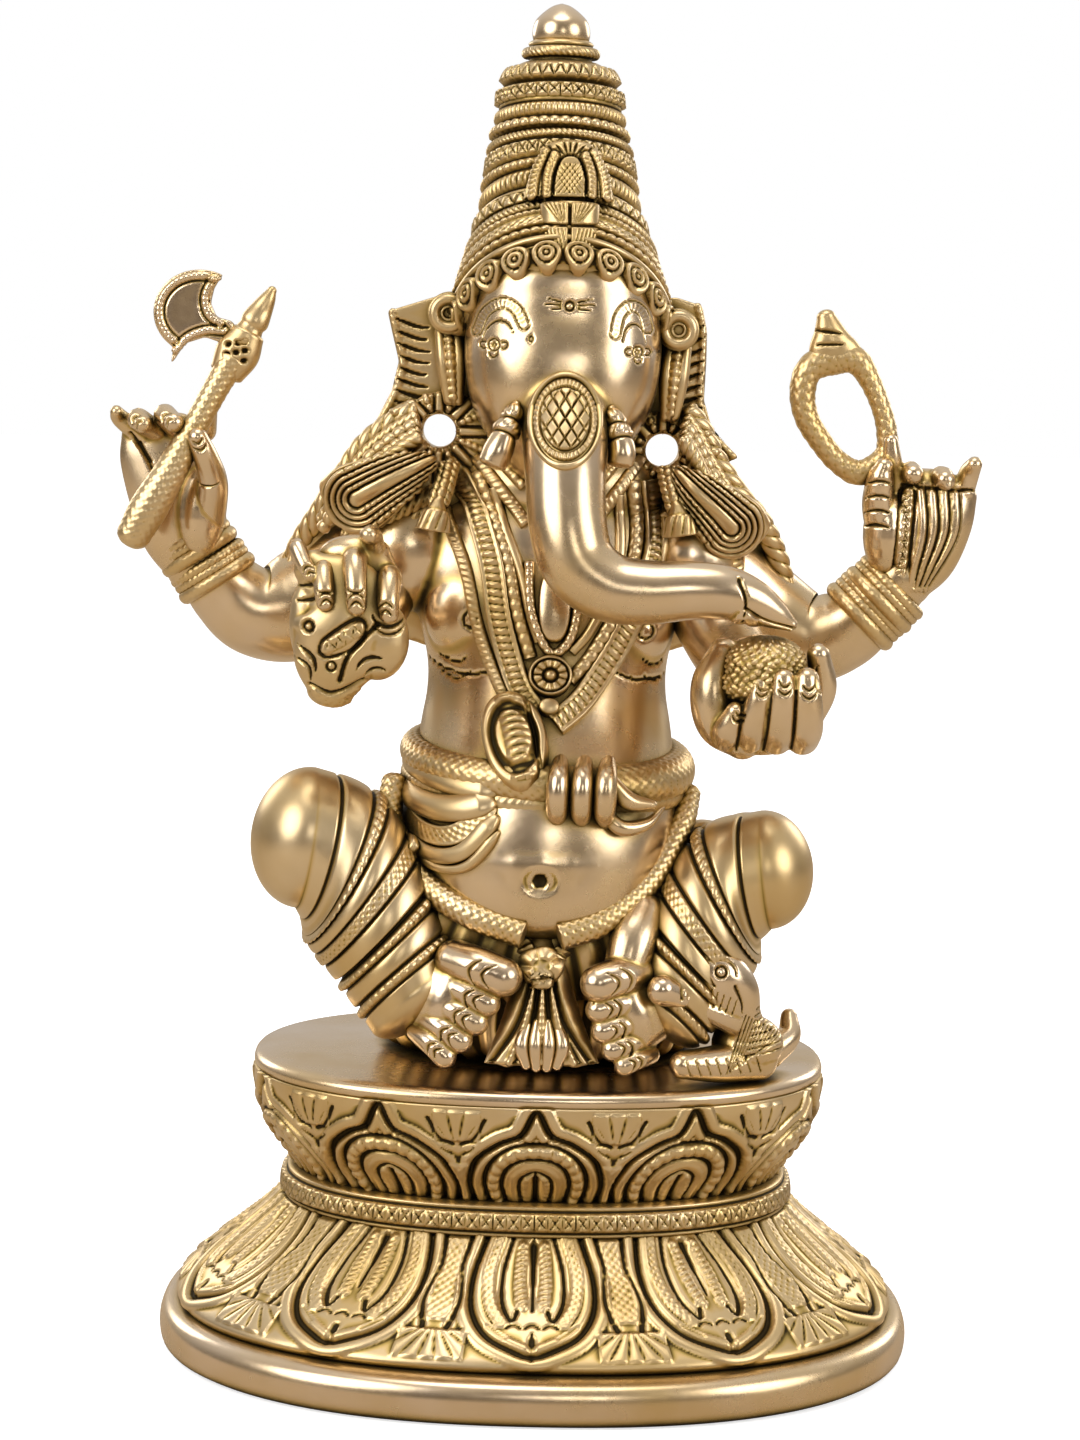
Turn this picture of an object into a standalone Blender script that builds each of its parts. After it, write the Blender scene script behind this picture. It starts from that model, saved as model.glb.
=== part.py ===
"""A cast brass Ganesha idol on a double-lotus pedestal, as the separate castings it is brazed from.

The figure faces -Y, +Z is up, and the origin is on the surface it stands on, under its middle.
Left and right are the figure's own: its right hand is at -X. Lengths in this file are millimetres.
"""

import math

import bmesh
import bpy
from mathutils import Vector
from mathutils.bvhtree import BVHTree

MM = 0.001

# Driving dimensions
HEIGHT = 203.0
PLINTH_HALF = (57.4, 46.0)
PLINTH_TOP = 6.6
SKIRT_TOP = 22.3
BEAD_TOP = 27.0
SEAT_TOP = 45.0
SEAT_THICK = 3.0
RIM_WALL = 9.0
WALL = 3.6
GAP = 0.32

PEDESTAL_SIDES = 32
PEDESTAL_POWER = 2.3
SEATING_SHELL_LIMIT = 2.0

BRASS = (0.72, 0.55, 0.30, 1.0)
ANTIQUE_BRASS = (0.50, 0.37, 0.16, 1.0)

# Level sections: z, middle x, middle y, half width, half depth, drop per millimetre towards the back
LAP = [
    (45.4, 0, 2.5, 21, 15, 0), (49, 0, 2.5, 25, 17.5, 0), (56, 0, 2, 25, 17.5, 0), (61, 0, 1, 23, 17, 0),
    (64.2, 0, 0, 19, 15, 0),
]
TORSO = [
    (64.6, 0, -4, 13, 13, 0), (68, 0, -6, 18, 18, 0), (77, 0, -6, 20.2, 19.4, 0), (85, 0, -5.5, 20.3, 18.4, 0),
    (92, 0, -4, 19.4, 16.4, 0), (100, 0, -2.5, 17.4, 13.5, 0), (106, 0, -2, 17.6, 12.3, 0),
    (113, 0, -1.5, 20, 12, 0), (120, 0, -0.5, 22.5, 11.6, 0), (126, 0, 0, 21, 10.5, 0), (130.5, 0, 0, 13, 8, 0),
]
HEAD = [
    (131, 1, -4, 7, 8, 0), (135, 1, -4.5, 11, 11, 0), (141, 1.1, -4.5, 14, 13, 0), (148, 1.1, -4.5, 14.8, 13.6, 0),
    (154, 1.1, -4.5, 14.4, 13.6, 0), (160, 1, -4, 13, 12.6, 0), (165, 0.8, -3, 9, 9, 0),
]
BRIM = [
    (155.4, 1, -1.6, 16.6, 16.6, 0.5), (158.6, 0.9, -1.2, 17, 17, 0.5), (163, 0.8, -0.6, 15.4, 15.6, 0.46),
    (167.6, 0.7, 0, 13.8, 13.8, 0.4), (169.6, 0.6, 0.2, 13, 12.8, 0.34),
]
LOWER_TIER = [
    (170.1, 0.6, 0.3, 12.8, 12.6, 0.32), (174, 0.4, 0.9, 12.4, 12.4, 0.2), (178, 0.3, 1.6, 11.8, 11.8, 0.14),
    (183.2, 0.2, 2.3, 10.9, 10.9, 0.1),
]
UPPER_TIER = [
    (183.7, 0.1, 2.4, 10.6, 10.6, 0.1), (187, 0.1, 3, 9.9, 9.9, 0.08), (190.4, 0, 3.6, 9.0, 9.0, 0.06),
    (192.8, 0, 3.8, 6.6, 6.6, 0.05),
]
COLLAR = [(193.3, 0, 3.9, 5.2, 5.2, 0.04), (194.6, 0, 4, 5.9, 5.9, 0.04), (196.3, 0, 4, 4.4, 4.4, 0.04)]
FINIAL = [
    (196.8, 0, 4, 4.1, 4.1, 0), (198.6, 0, 4, 4.3, 4.3, 0), (200.8, 0, 4, 3.4, 3.4, 0), (202.3, 0, 4, 2, 2, 0),
    (HEIGHT, 0, 4, 0.6, 0.6, 0),
]

# Limbs, from the body outwards: x, y, z, half width, half depth
THIGHS = {
    "right": [(-8, 4, 60, 12, 11), (-20, 0, 66.5, 12, 11), (-30, -6, 75, 10.6, 10), (-36, -9.5, 80.4, 8, 8)],
    "left": [(8, 4, 60, 12, 11), (20, 0, 65.5, 12, 11), (29, -6, 72.4, 10.4, 10), (34, -9.5, 76.6, 8, 8)],
}
SHINS = {
    "right": [
        (-36.9, -10.4, 81.2, 6.6, 6.8), (-34, -11.6, 77.6, 9.4, 9), (-29.5, -13, 72, 11.6, 10),
        (-24.5, -15, 65.4, 11, 9.2), (-19.5, -18, 58.6, 8.8, 7.4), (-16.5, -20.5, 54.8, 6.8, 6),
    ],
    "left": [
        (34.4, -10.4, 77.2, 6.4, 6.8), (32, -11.6, 74.2, 9.2, 8.8), (28, -13, 69.4, 11, 9.6),
        (23.4, -15, 63.4, 10.6, 9), (18.8, -18, 57.8, 8.6, 7.2), (16.2, -20.5, 54.4, 6.8, 6),
    ],
}
# Toes, from the big toe down: x, y, z, radius
TOES = {
    "right": [
        (-6.2, -26.6, 61.2, 2.6), (-7.6, -27.4, 57.6, 2.1), (-9.4, -27.6, 54.4, 2.0), (-11.8, -27.2, 51.4, 1.9),
        (-14.6, -26.4, 49.0, 1.8),
    ],
    "left": [
        (9.8, -26.8, 63.4, 2.6), (10.4, -27.6, 59.4, 2.1), (10.8, -27.8, 55.8, 2.0), (11.6, -27.6, 52.4, 1.9),
        (12.8, -27.0, 49.2, 1.8),
    ],
}
HEELS = {"right": (-20, -20.5, 56.6), "left": (20, -20.5, 56.6)}
REAR_ARMS = {
    "right": [
        (-16, 2, 123, 8, 8), (-28, 5, 120, 7.6, 7.4), (-35.6, 6.4, 110.5, 7, 6.8), (-40.2, 5, 105.2, 6.2, 6),
        (-46, 3.2, 108.2, 5.5, 5.4), (-50.2, 2, 113, 5, 4.8), (-52.8, 1, 117.2, 4.8, 4.6),
    ],
    "left": [
        (16, 2, 123, 8, 8), (27, 5, 119, 7.6, 7.4), (34.5, 6.4, 111, 7, 6.8), (40.5, 5, 108, 6.4, 6.2),
        (46, 3.2, 110.2, 5.6, 5.4), (50.4, 2, 113.8, 5.1, 4.8), (53.4, 1, 117.6, 4.9, 4.6),
    ],
}
FRONT_ARMS = {
    "right": [(-18, -4, 121, 7, 7), (-21.5, -6.5, 113, 6.6, 6.6), (-24.5, -12, 107, 6, 6), (-27.8, -19, 107.4, 5.2, 5)],
    "left": [(18, -4, 121, 7, 7), (22, -6.5, 113.5, 6.6, 6.6), (26, -12, 107.8, 6, 6), (30.4, -19, 105.6, 5.2, 5)],
}
TRUNK = [
    (1.5, -12, 151, 8, 7), (1.6, -18.5, 146.5, 7.8, 6.8), (1.8, -22.5, 140, 7, 6.4), (2, -25, 133, 6.5, 6),
    (2.6, -26.8, 126, 6, 5.6), (4.8, -28, 121, 5.4, 5.2), (9.5, -29, 118, 4.8, 4.8), (16, -29.6, 118.2, 4.4, 4.3),
    (22, -29.6, 119, 4.3, 4.1), (27, -29.2, 118.6, 4.1, 3.8), (31, -28.6, 116.4, 3, 2.8), (34.6, -28.2, 113.9, 1.2, 1.2),
]
HEM = [
    (-21.4, -9, 87.6, 1.9, 2.2), (-19.6, -16.6, 81.2, 2, 2.2), (-13.6, -22.8, 73.6, 2, 2.2), (-5, -25.8, 69, 2, 2.2),
    (0, -26.2, 67.8, 2, 2.2), (5, -25.8, 69, 2, 2.2), (13.6, -22.8, 73.4, 2, 2.2), (19.6, -16.6, 80, 2, 2.2),
    (21.4, -9, 85.6, 1.9, 2.2),
]
GARLAND = [
    (-10.5, -10.6, 129.4, 2.6, 1.8), (-9.6, -13.6, 122, 2.6, 1.8), (-7.6, -14.8, 113.6, 2.6, 1.8),
    (-4, -15.4, 106.4, 2.6, 1.8), (0.6, -16, 103, 3.6, 2), (5.4, -15.4, 106.6, 2.6, 1.8), (9, -14.8, 113.6, 2.6, 1.8),
    (11.6, -13.4, 122, 2.6, 1.8), (12.8, -10.6, 129.4, 2.6, 1.8),
]
AXE_SHAFT = [
    (-59.8, -9.6, 124.2, 1.7, 1.7), (-57.6, -9, 130, 1.9, 1.8), (-54.2, -7.8, 137.2, 1.7, 1.6),
    (-50.2, -6.8, 144.6, 1.7, 1.6), (-47.4, -6.2, 149.6, 2.9, 2.2), (-45.2, -6, 153.2, 2.6, 2.0),
    (-43.4, -6, 155.8, 1.6, 1.4), (-42.0, -6, 158, 0.9, 0.9),
]

# Outlines in the XZ plane
EAR = [
    (13, 158), (18, 159.5), (25.6, 157.6), (26.6, 153.5), (25.4, 147), (27, 141), (30.5, 135.5), (25, 133.8),
    (20.4, 135.5), (20.2, 138), (18.6, 142.2), (13, 143.4),
]
SHAWL = [
    (-12, 132.5), (-24, 133.5), (-31, 136.5), (-36.5, 129), (-40.5, 122), (-42.5, 115.5), (-39, 112.4), (-30, 112),
    (0, 108), (30, 112), (36.6, 109.5), (39.8, 113), (37.6, 121), (33.4, 129), (29, 135.5), (24, 132), (12, 131),
]
AXE_BLADE = [
    (-47.6, 151.6), (-46.6, 156), (-49.4, 158.4), (-49.2, 161.6), (-53.4, 162.6), (-57.4, 160.8), (-59.8, 156.8),
    (-59.6, 151.8), (-57.6, 147.6), (-55.6, 150.4), (-52.4, 151.8),
]

castings = []


# ---------------------------------------------------------------- meshes

def brass(name, colour, roughness):
    """A metal with the given colour."""
    material = bpy.data.materials.new(name)
    material.use_nodes = True
    shader = material.node_tree.nodes["Principled BSDF"]
    shader.inputs["Base Color"].default_value = colour
    shader.inputs["Metallic"].default_value = 1.0
    shader.inputs["Roughness"].default_value = roughness
    return material


def add_casting(name, shape, metal):
    """A mesh object from points in millimetres and faces, turned to face out."""
    points, faces = shape
    mesh = bpy.data.meshes.new(name)
    mesh.from_pydata([Vector(p) * MM for p in points], [], faces)
    work = bmesh.new()
    work.from_mesh(mesh)
    bmesh.ops.recalc_face_normals(work, faces=work.faces)
    bmesh.ops.triangulate(work, faces=[f for f in work.faces if len(f.verts) > 4])
    work.to_mesh(mesh)
    work.free()
    mesh.shade_smooth()
    mesh.set_sharp_from_angle(angle=math.radians(40))
    mesh.materials.append(brass(name, *metal))
    obj = bpy.data.objects.new(name, mesh)
    bpy.context.scene.collection.objects.link(obj)
    castings.append(obj)
    return obj


def curve_through(stations, count):
    """count stations on a smooth curve through the given ones, whatever each station holds."""
    spans = len(stations) - 1
    made = []
    for i in range(count):
        along = spans * i / (count - 1)
        k = min(int(along), spans - 1)
        t = along - k
        a, b, c, d = (stations[min(max(k + j, 0), spans)] for j in (-1, 0, 1, 2))
        made.append([
            0.5 * (2 * q + (r - p) * t + (2 * p - 5 * q + 4 * r - s) * t ** 2 + (3 * q - p - 3 * r + s) * t ** 3)
            for p, q, r, s in zip(a, b, c, d)
        ])
    return made


def bridge(rings, endless=False):
    """Faces between rings of equal count, with a fan closing each end unless the last ring meets the first."""
    sides = len(rings[0])
    points = [p for ring in rings for p in ring]
    faces = []
    for k in range(len(rings) if endless else len(rings) - 1):
        low = k * sides
        high = (k + 1) % len(rings) * sides
        for i in range(sides):
            j = (i + 1) % sides
            faces.append((low + i, low + j, high + j, high + i))
    if endless:
        return points, faces
    for start in (0, (len(rings) - 1) * sides):
        ring = points[start:start + sides]
        points.append(sum((Vector(p) for p in ring), Vector()) / sides)
        faces += [(start + i, start + (i + 1) % sides, len(points) - 1) for i in range(sides)]
    return points, faces


def level_ring(middle, half, z, sides, power=2.0, drop=0.0):
    """A superellipse round a vertical axis, lowered towards its back by drop for each millimetre."""
    ring = []
    for i in range(sides):
        angle = 2 * math.pi * i / sides
        c, s = math.cos(angle), math.sin(angle)
        x = half[0] * math.copysign(abs(c) ** (2 / power), c)
        y = half[1] * math.copysign(abs(s) ** (2 / power), s)
        ring.append(Vector((middle[0] + x, middle[1] + y, z - drop * y)))
    return ring


def stack(levels, sides, rings=None, power=2.0):
    """A solid through level sections, smoothed into the given number of rings."""
    levels = curve_through(levels, rings) if rings else levels
    return bridge([level_ring((x, y), (a, b), z, sides, power, drop) for z, x, y, a, b, drop in levels])


def round_wall(outer, inner):
    """A wall standing on the pedestal's outline: up its outer levels and down its inner ones."""
    levels = list(outer) + list(reversed(inner))
    return bridge(
        [level_ring((0, 0), (a, b), z, PEDESTAL_SIDES, PEDESTAL_POWER) for z, a, b in levels], endless=True,
    )


def limb_sections(path, depth_axis):
    """Each station's middle, its two half axes and the way the limb runs there."""
    middles = [Vector(s[:3]) for s in path]
    sections = []
    for k, station in enumerate(path):
        ahead = middles[min(k + 1, len(path) - 1)] - middles[max(k - 1, 0)]
        ahead.normalize()
        across = Vector(depth_axis).cross(ahead).normalized()
        sections.append((middles[k], across * station[3], ahead.cross(across) * station[4], ahead))
    return sections


def section_ring(section, sides, scale=1.0, reach=0.0, grow=0.0):
    """The oval of one section, scaled, moved along the limb and grown outwards."""
    middle, across, deep, ahead = section
    wide = across * scale + across.normalized() * grow
    tall = deep * scale + deep.normalized() * grow
    turns = [2 * math.pi * i / sides for i in range(sides)]
    return [middle + ahead * reach + wide * math.cos(t) + tall * math.sin(t) for t in turns]


def limb(stations, sides, rings, depth_axis=(0, 1, 0), domed=True):
    """A solid along stations of x, y, z, half width and half depth, with domed or flat ends."""
    sections = limb_sections(curve_through(stations, rings), depth_axis)
    steps = [(k, 0.0, 0) for k in range(rings)]
    if domed:
        steps = [(0, 0.95, -1), (0, 0.6, -1)] + steps + [(rings - 1, 0.6, 1), (rings - 1, 0.95, 1)]
    made = []
    for k, share, way in steps:
        across, deep = sections[k][1:3]
        reach = min(across.length, deep.length) * share * way
        made.append(section_ring(sections[k], sides, math.sqrt(1 - share * share), reach))
    return bridge(made)


def cuff(stations, start, end, thick, sides):
    """A sleeve standing clear of a limb's skin between two shares of its length."""
    steps = 40
    sections = limb_sections(curve_through(stations, steps + 1), (0, 1, 0))
    chosen = sections[round(start * steps):round(end * steps) + 1]
    outside = [section_ring(s, sides, grow=GAP + thick) for s in chosen]
    inside = [section_ring(s, sides, grow=GAP) for s in reversed(chosen)]
    return bridge(outside + inside, endless=True)


def plate(outline, front, thick, bend=0.0):
    """A flat casting in the XZ plane; bend moves its outer ends in Y by bend times x squared."""
    sides = len(outline)
    points = [Vector((x, y + bend * x * x, z)) for y in (front, front + thick) for x, z in outline]
    faces = [tuple(range(sides)), tuple(range(2 * sides - 1, sides - 1, -1))]
    faces += [(i, i + sides, (i + 1) % sides + sides, (i + 1) % sides) for i in range(sides)]
    return points, faces


def joined(shapes):
    """Several shapes as one list of points and one list of faces."""
    points, faces = [], []
    for shape_points, shape_faces in shapes:
        base = len(points)
        points += shape_points
        faces += [tuple(base + i for i in face) for face in shape_faces]
    return points, faces


def run_together(name, shapes, metal, triangles, voxel):
    """Shapes that overlap, as one skin thinned to about the given count of triangles."""
    obj = add_casting(name, joined(shapes), metal)
    skin = obj.modifiers.new("skin", "REMESH")
    skin.mode = "VOXEL"
    skin.voxel_size = voxel * MM
    bake_modifiers(obj)
    thin = obj.modifiers.new("thin", "DECIMATE")
    thin.ratio = min(1.0, triangles / (2 * len(obj.data.polygons)))
    return obj


# ---------------------------------------------------------------- seating castings against each other

def bake_modifiers(obj):
    """Replaces the object's mesh with what its modifiers make of it."""
    bpy.context.view_layer.update()
    mesh = bpy.data.meshes.new_from_object(obj.evaluated_get(bpy.context.evaluated_depsgraph_get()))
    obj.modifiers.clear()
    obj.data = mesh


def surface_of(obj):
    """A search tree of the object's faces."""
    return BVHTree.FromPolygons([v.co for v in obj.data.vertices], [p.vertices for p in obj.data.polygons])


def room_for(piece):
    """A hidden copy of the piece, swollen by the gap, that cuts space for it in its neighbours."""
    mesh = piece.data.copy()
    cutter = bpy.data.objects.new("room_for_" + piece.name, mesh)
    bpy.context.scene.collection.objects.link(cutter)
    cutter.hide_render = True
    cutter.display_type = "WIRE"
    work = bmesh.new()
    work.from_mesh(mesh)
    work.normal_update()
    moves = [v.normal * GAP * MM * min(v.calc_shell_factor(), SEATING_SHELL_LIMIT) for v in work.verts]
    for vertex, move in zip(work.verts, moves):
        vertex.co += move
    work.to_mesh(mesh)
    work.free()
    return cutter


def body_round(start, unseen):
    """The vertices joined to start by edges, taken out of unseen."""
    unseen.remove(start)
    body = [start]
    front = [start]
    while front:
        for edge in front.pop().link_edges:
            for vertex in edge.verts:
                if vertex in unseen:
                    unseen.remove(vertex)
                    front.append(vertex)
                    body.append(vertex)
    return body


def keep_largest_body(obj):
    """Drops the scraps that a cut leaves beside the casting."""
    work = bmesh.new()
    work.from_mesh(obj.data)
    work.verts.ensure_lookup_table()
    unseen = set(work.verts)
    bodies = [body_round(vertex, unseen) for vertex in work.verts if vertex in unseen]
    bodies.sort(key=len)
    bmesh.ops.delete(work, geom=[v for body in bodies[:-1] for v in body])
    work.to_mesh(obj.data)
    work.free()


def seat_castings():
    """Cuts each casting back from every one made before it that it would touch."""
    placed = []
    for piece in castings:
        bake_modifiers(piece)
        skin = surface_of(piece)
        room = room_for(piece)
        for cutter, cutter_skin in placed:
            if skin.overlap(cutter_skin):
                cut = piece.modifiers.new(cutter.name, "BOOLEAN")
                cut.operation = "DIFFERENCE"
                cut.object = cutter
                cut.use_self = True
        if piece.modifiers:
            bake_modifiers(piece)
            keep_largest_body(piece)
        placed.append((room, surface_of(room)))


# ---------------------------------------------------------------- pedestal

def make_pedestal(metal):
    """A rounded plinth, two lotus walls with a beaded ring between them, and the seat plate."""
    a, b = PLINTH_HALF
    add_casting("base_plinth", round_wall(
        [(0, a - 1.6, b - 1.6), (1.4, a, b), (5.0, a, b), (PLINTH_TOP, a - 2, b - 2)],
        [(0, a - RIM_WALL, b - RIM_WALL), (PLINTH_TOP, a - RIM_WALL, b - RIM_WALL)],
    ), metal)
    low = PLINTH_TOP + GAP
    add_casting("lower_lotus", round_wall(
        [(low, 55, 42), (10, 52.6, 39.6), (16, 45.6, 32.6), (SKIRT_TOP, 39.2, 26.2)],
        [(low, 55 - 2 * WALL, 42 - 2 * WALL), (16, 45.6 - 1.6 * WALL, 32.6 - 1.6 * WALL),
         (SKIRT_TOP, 39.2 - WALL, 26.2 - WALL)],
    ), metal)
    low = SKIRT_TOP + GAP
    add_casting("bead_ring", round_wall(
        [(low, 38.4, 25.4), (low + 1.2, 39.5, 26.4), (BEAD_TOP - 1.2, 39, 26), (BEAD_TOP, 37.9, 25.2)],
        [(low, 39.2 - WALL, 26.2 - WALL), (BEAD_TOP, 39.2 - WALL, 26.2 - WALL)],
    ), metal)
    low = BEAD_TOP + GAP
    slab = SEAT_TOP - SEAT_THICK
    add_casting("upper_lotus", round_wall(
        [(low, 37, 24.6), (31, 38.8, 26), (36, 42.2, 28.6), (slab, 43.4, 29.6)],
        [(low, 37 - WALL, 24.6 - WALL), (slab, 43.4 - WALL - 1, 29.6 - WALL - 1)],
    ), metal)
    low = slab + GAP
    levels = [(low, 43.4, 29.6), (SEAT_TOP - 1, 43.2, 29.4), (SEAT_TOP, 41.8, 28.4)]
    add_casting("seat_plate", stack([(z, 0, 0, a, b, 0) for z, a, b in levels], PEDESTAL_SIDES,
                                    power=PEDESTAL_POWER), metal)


# ---------------------------------------------------------------- body and dress

def make_lower_body(metal):
    """Hips, belly and chest, two folded legs, and two feet standing on their outer edges."""
    add_casting("lap_and_hips", stack(LAP, 22), metal)
    add_casting("torso", stack(TORSO, 22, rings=12), metal)
    for side in ("right", "left"):
        shapes = [limb(THIGHS[side], 12, 7), limb(SHINS[side], 12, 9)]
        run_together(side + "_leg", shapes, metal, triangles=380, voxel=1.2)
    for side in ("right", "left"):
        heel = Vector(HEELS[side])
        shapes = []
        for k, (x, y, z, r) in enumerate(TOES[side]):
            root = heel - Vector((0, 0, 1.1 * k))
            arch = (root + Vector((x, y, z))) / 2 + Vector((0, -1.6, 0.8))
            shapes.append(limb([(*root, 3.4, 3.4), (*arch, 2.9, 2.9), (x, y, z, r, r)], 10, 5))
        run_together(side + "_foot", shapes, metal, triangles=220, voxel=0.7)


def make_waist(metal):
    """The pleat between the feet, the dhoti's hem, and the serpent tied round the belly."""
    pleat = [(0, -18, 65, 3.5, 4.4), (0, -22, 58.6, 4, 3.8), (0.3, -25.4, 49.2, 6.4, 3)]
    add_casting("front_pleat", limb(pleat, 14, 7), metal)
    add_casting("dhoti_hem", limb(HEM, 6, 15), metal)
    rings = []
    turns = 22
    for i in range(turns):
        angle = 2 * math.pi * i / turns
        out = Vector((math.cos(angle), math.sin(angle), 0))
        middle = Vector((21.2 * out.x, 18.4 * out.y - 4.4, 90.2 - 1.1 * out.x + 1.4 * out.y))
        rings.append([middle + out * 2.2 * math.cos(t) + Vector((0, 0, 2.8 * math.sin(t)))
                      for t in (math.pi * k / 3 for k in range(6))])
    add_casting("serpent_belt", bridge(rings, endless=True), metal)
    hood = [
        (1.4, -20.6, 83.6, 2.4, 1.7), (-3.2, -22.8, 87.2, 4.4, 2), (-5.2, -22, 93, 5.2, 2.2),
        (-3.8, -19.4, 98.6, 4.4, 2), (-1.4, -17.6, 101.2, 2.6, 1.6),
    ]
    add_casting("serpent_hood", limb(hood, 12, 9), metal)
    coils = [limb([(x, -22.2, 84, 1.7, 2), (x, -24.8, 87.8, 2.1, 2), (x, -22, 91.6, 1.5, 2)], 10, 6)
             for x in (3.6, 7.6, 11.4)]
    run_together("belt_knot", coils, metal, triangles=200, voxel=0.6)
    sash = [(-17.6, -17.6, 84.2, 2.4, 2.2), (-13.4, -22.2, 82, 3.8, 2.4), (-7.4, -25.4, 81.4, 2.6, 2.2)]
    add_casting("hip_sash", limb(sash, 12, 7, depth_axis=(0.4, 1, 0)), metal)


def make_head(metal, dark_metal):
    """Skull, trunk and the crown's brim, then a tusk, a rosette with its drop, and an ear on each side."""
    add_casting("head", stack(HEAD, 22, rings=11), metal)
    add_casting("trunk", limb(TRUNK, 12, 18), metal)
    add_casting("crown_brim", stack(BRIM, 22, rings=6), dark_metal)
    middle = 1.3
    for side, way in (("right", -1), ("left", 1)):
        tusk = [(middle + way * 7, -13, 141.4, 2.4, 2.4), (middle + way * 9.4, -19.6, 139.2, 2.2, 2.2),
                (middle + way * 10.6, -22.6, 136.4, 1.8, 1.8)]
        add_casting(side + "_tusk", limb(tusk, 10, 6), metal)
        x = middle + way * 17
        disc = [(x, -8, 155.4, 3.3, 3.3), (x + way * 0.4, -3.4, 155.4, 3.4, 3.4)]
        drop = [(x, -5.6, 153, 2.3, 1.8), (x - way * 0.4, -5.6, 142.4, 2.2, 1.8)]
        shapes = [limb(disc, 12, 3, depth_axis=(0, 0, 1)), limb(drop, 10, 5)]
        run_together(side + "_ear_rosette", shapes, dark_metal, triangles=190, voxel=0.6)
        add_casting(side + "_ear", plate([(middle + way * x * 0.95, z) for x, z in EAR], -0.6, 2.6), metal)


def make_crown(metal):
    """Above the brim, two banded tiers, a collar and a finial, with a crest standing on the front."""
    add_casting("crown_lower_tier", stack(LOWER_TIER, 22, rings=6), metal)
    add_casting("crown_upper_tier", stack(UPPER_TIER, 20, rings=6), metal)
    add_casting("crown_collar", stack(COLLAR, 16), metal)
    add_casting("crown_finial", stack(FINIAL, 16), metal)
    crest = [(0.9, -15.8, 167, 4.6, 2.6), (0.8, -14.6, 171.5, 4.6, 2.6), (0.7, -12.4, 176.4, 5.4, 2.4),
             (0.6, -10.6, 182.4, 2.6, 1.6)]
    add_casting("crown_crest", limb(crest, 12, 8), metal)


def make_arms(metal, dark_metal):
    """Four arms, with a pair of bracelets made as one cuff on each rear wrist."""
    for side in ("right", "left"):
        add_casting(f"rear_{side}_arm", limb(REAR_ARMS[side], 12, 13), metal)
        add_casting(f"front_{side}_arm", limb(FRONT_ARMS[side], 12, 8), metal)
        add_casting(f"rear_{side}_bracelets", cuff(REAR_ARMS[side], 0.83, 0.97, 1.3, 12), dark_metal)


def make_drapery(metal):
    """The shawl behind the shoulders, a domed ornament on each of them, the garland and its pendant."""
    add_casting("back_shawl", plate(SHAWL, 12.4, 2.6, bend=-0.0025), metal)
    for side, way in (("right", -1), ("left", 1)):
        dome = [(way * 18.6, -9.4, 133.4, 3, 2.2), (way * 24, -9.6, 130.2, 6.4, 3), (way * 29.4, -7.2, 126.2, 7.4, 3.2),
                (way * 33.4, -3.8, 122.6, 5.2, 3)]
        add_casting(side + "_epaulette", limb(dome, 14, 8, depth_axis=(0.35 * way, 1, 0)), metal)
    add_casting("garland", limb(GARLAND, 6, 17), metal)
    pendant = [(0.6, -16.4, 105.4, 3.5, 3.5), (0.6, -19.8, 105.4, 3.3, 3.3)]
    add_casting("pendant", limb(pendant, 12, 2, depth_axis=(0, 0, 1), domed=False), metal)


# ---------------------------------------------------------------- hands and what they hold

def fingers(paths, sides=8, rings=6):
    """A limb for each finger's stations."""
    return [limb(path, sides, rings) for path in paths]


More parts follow.
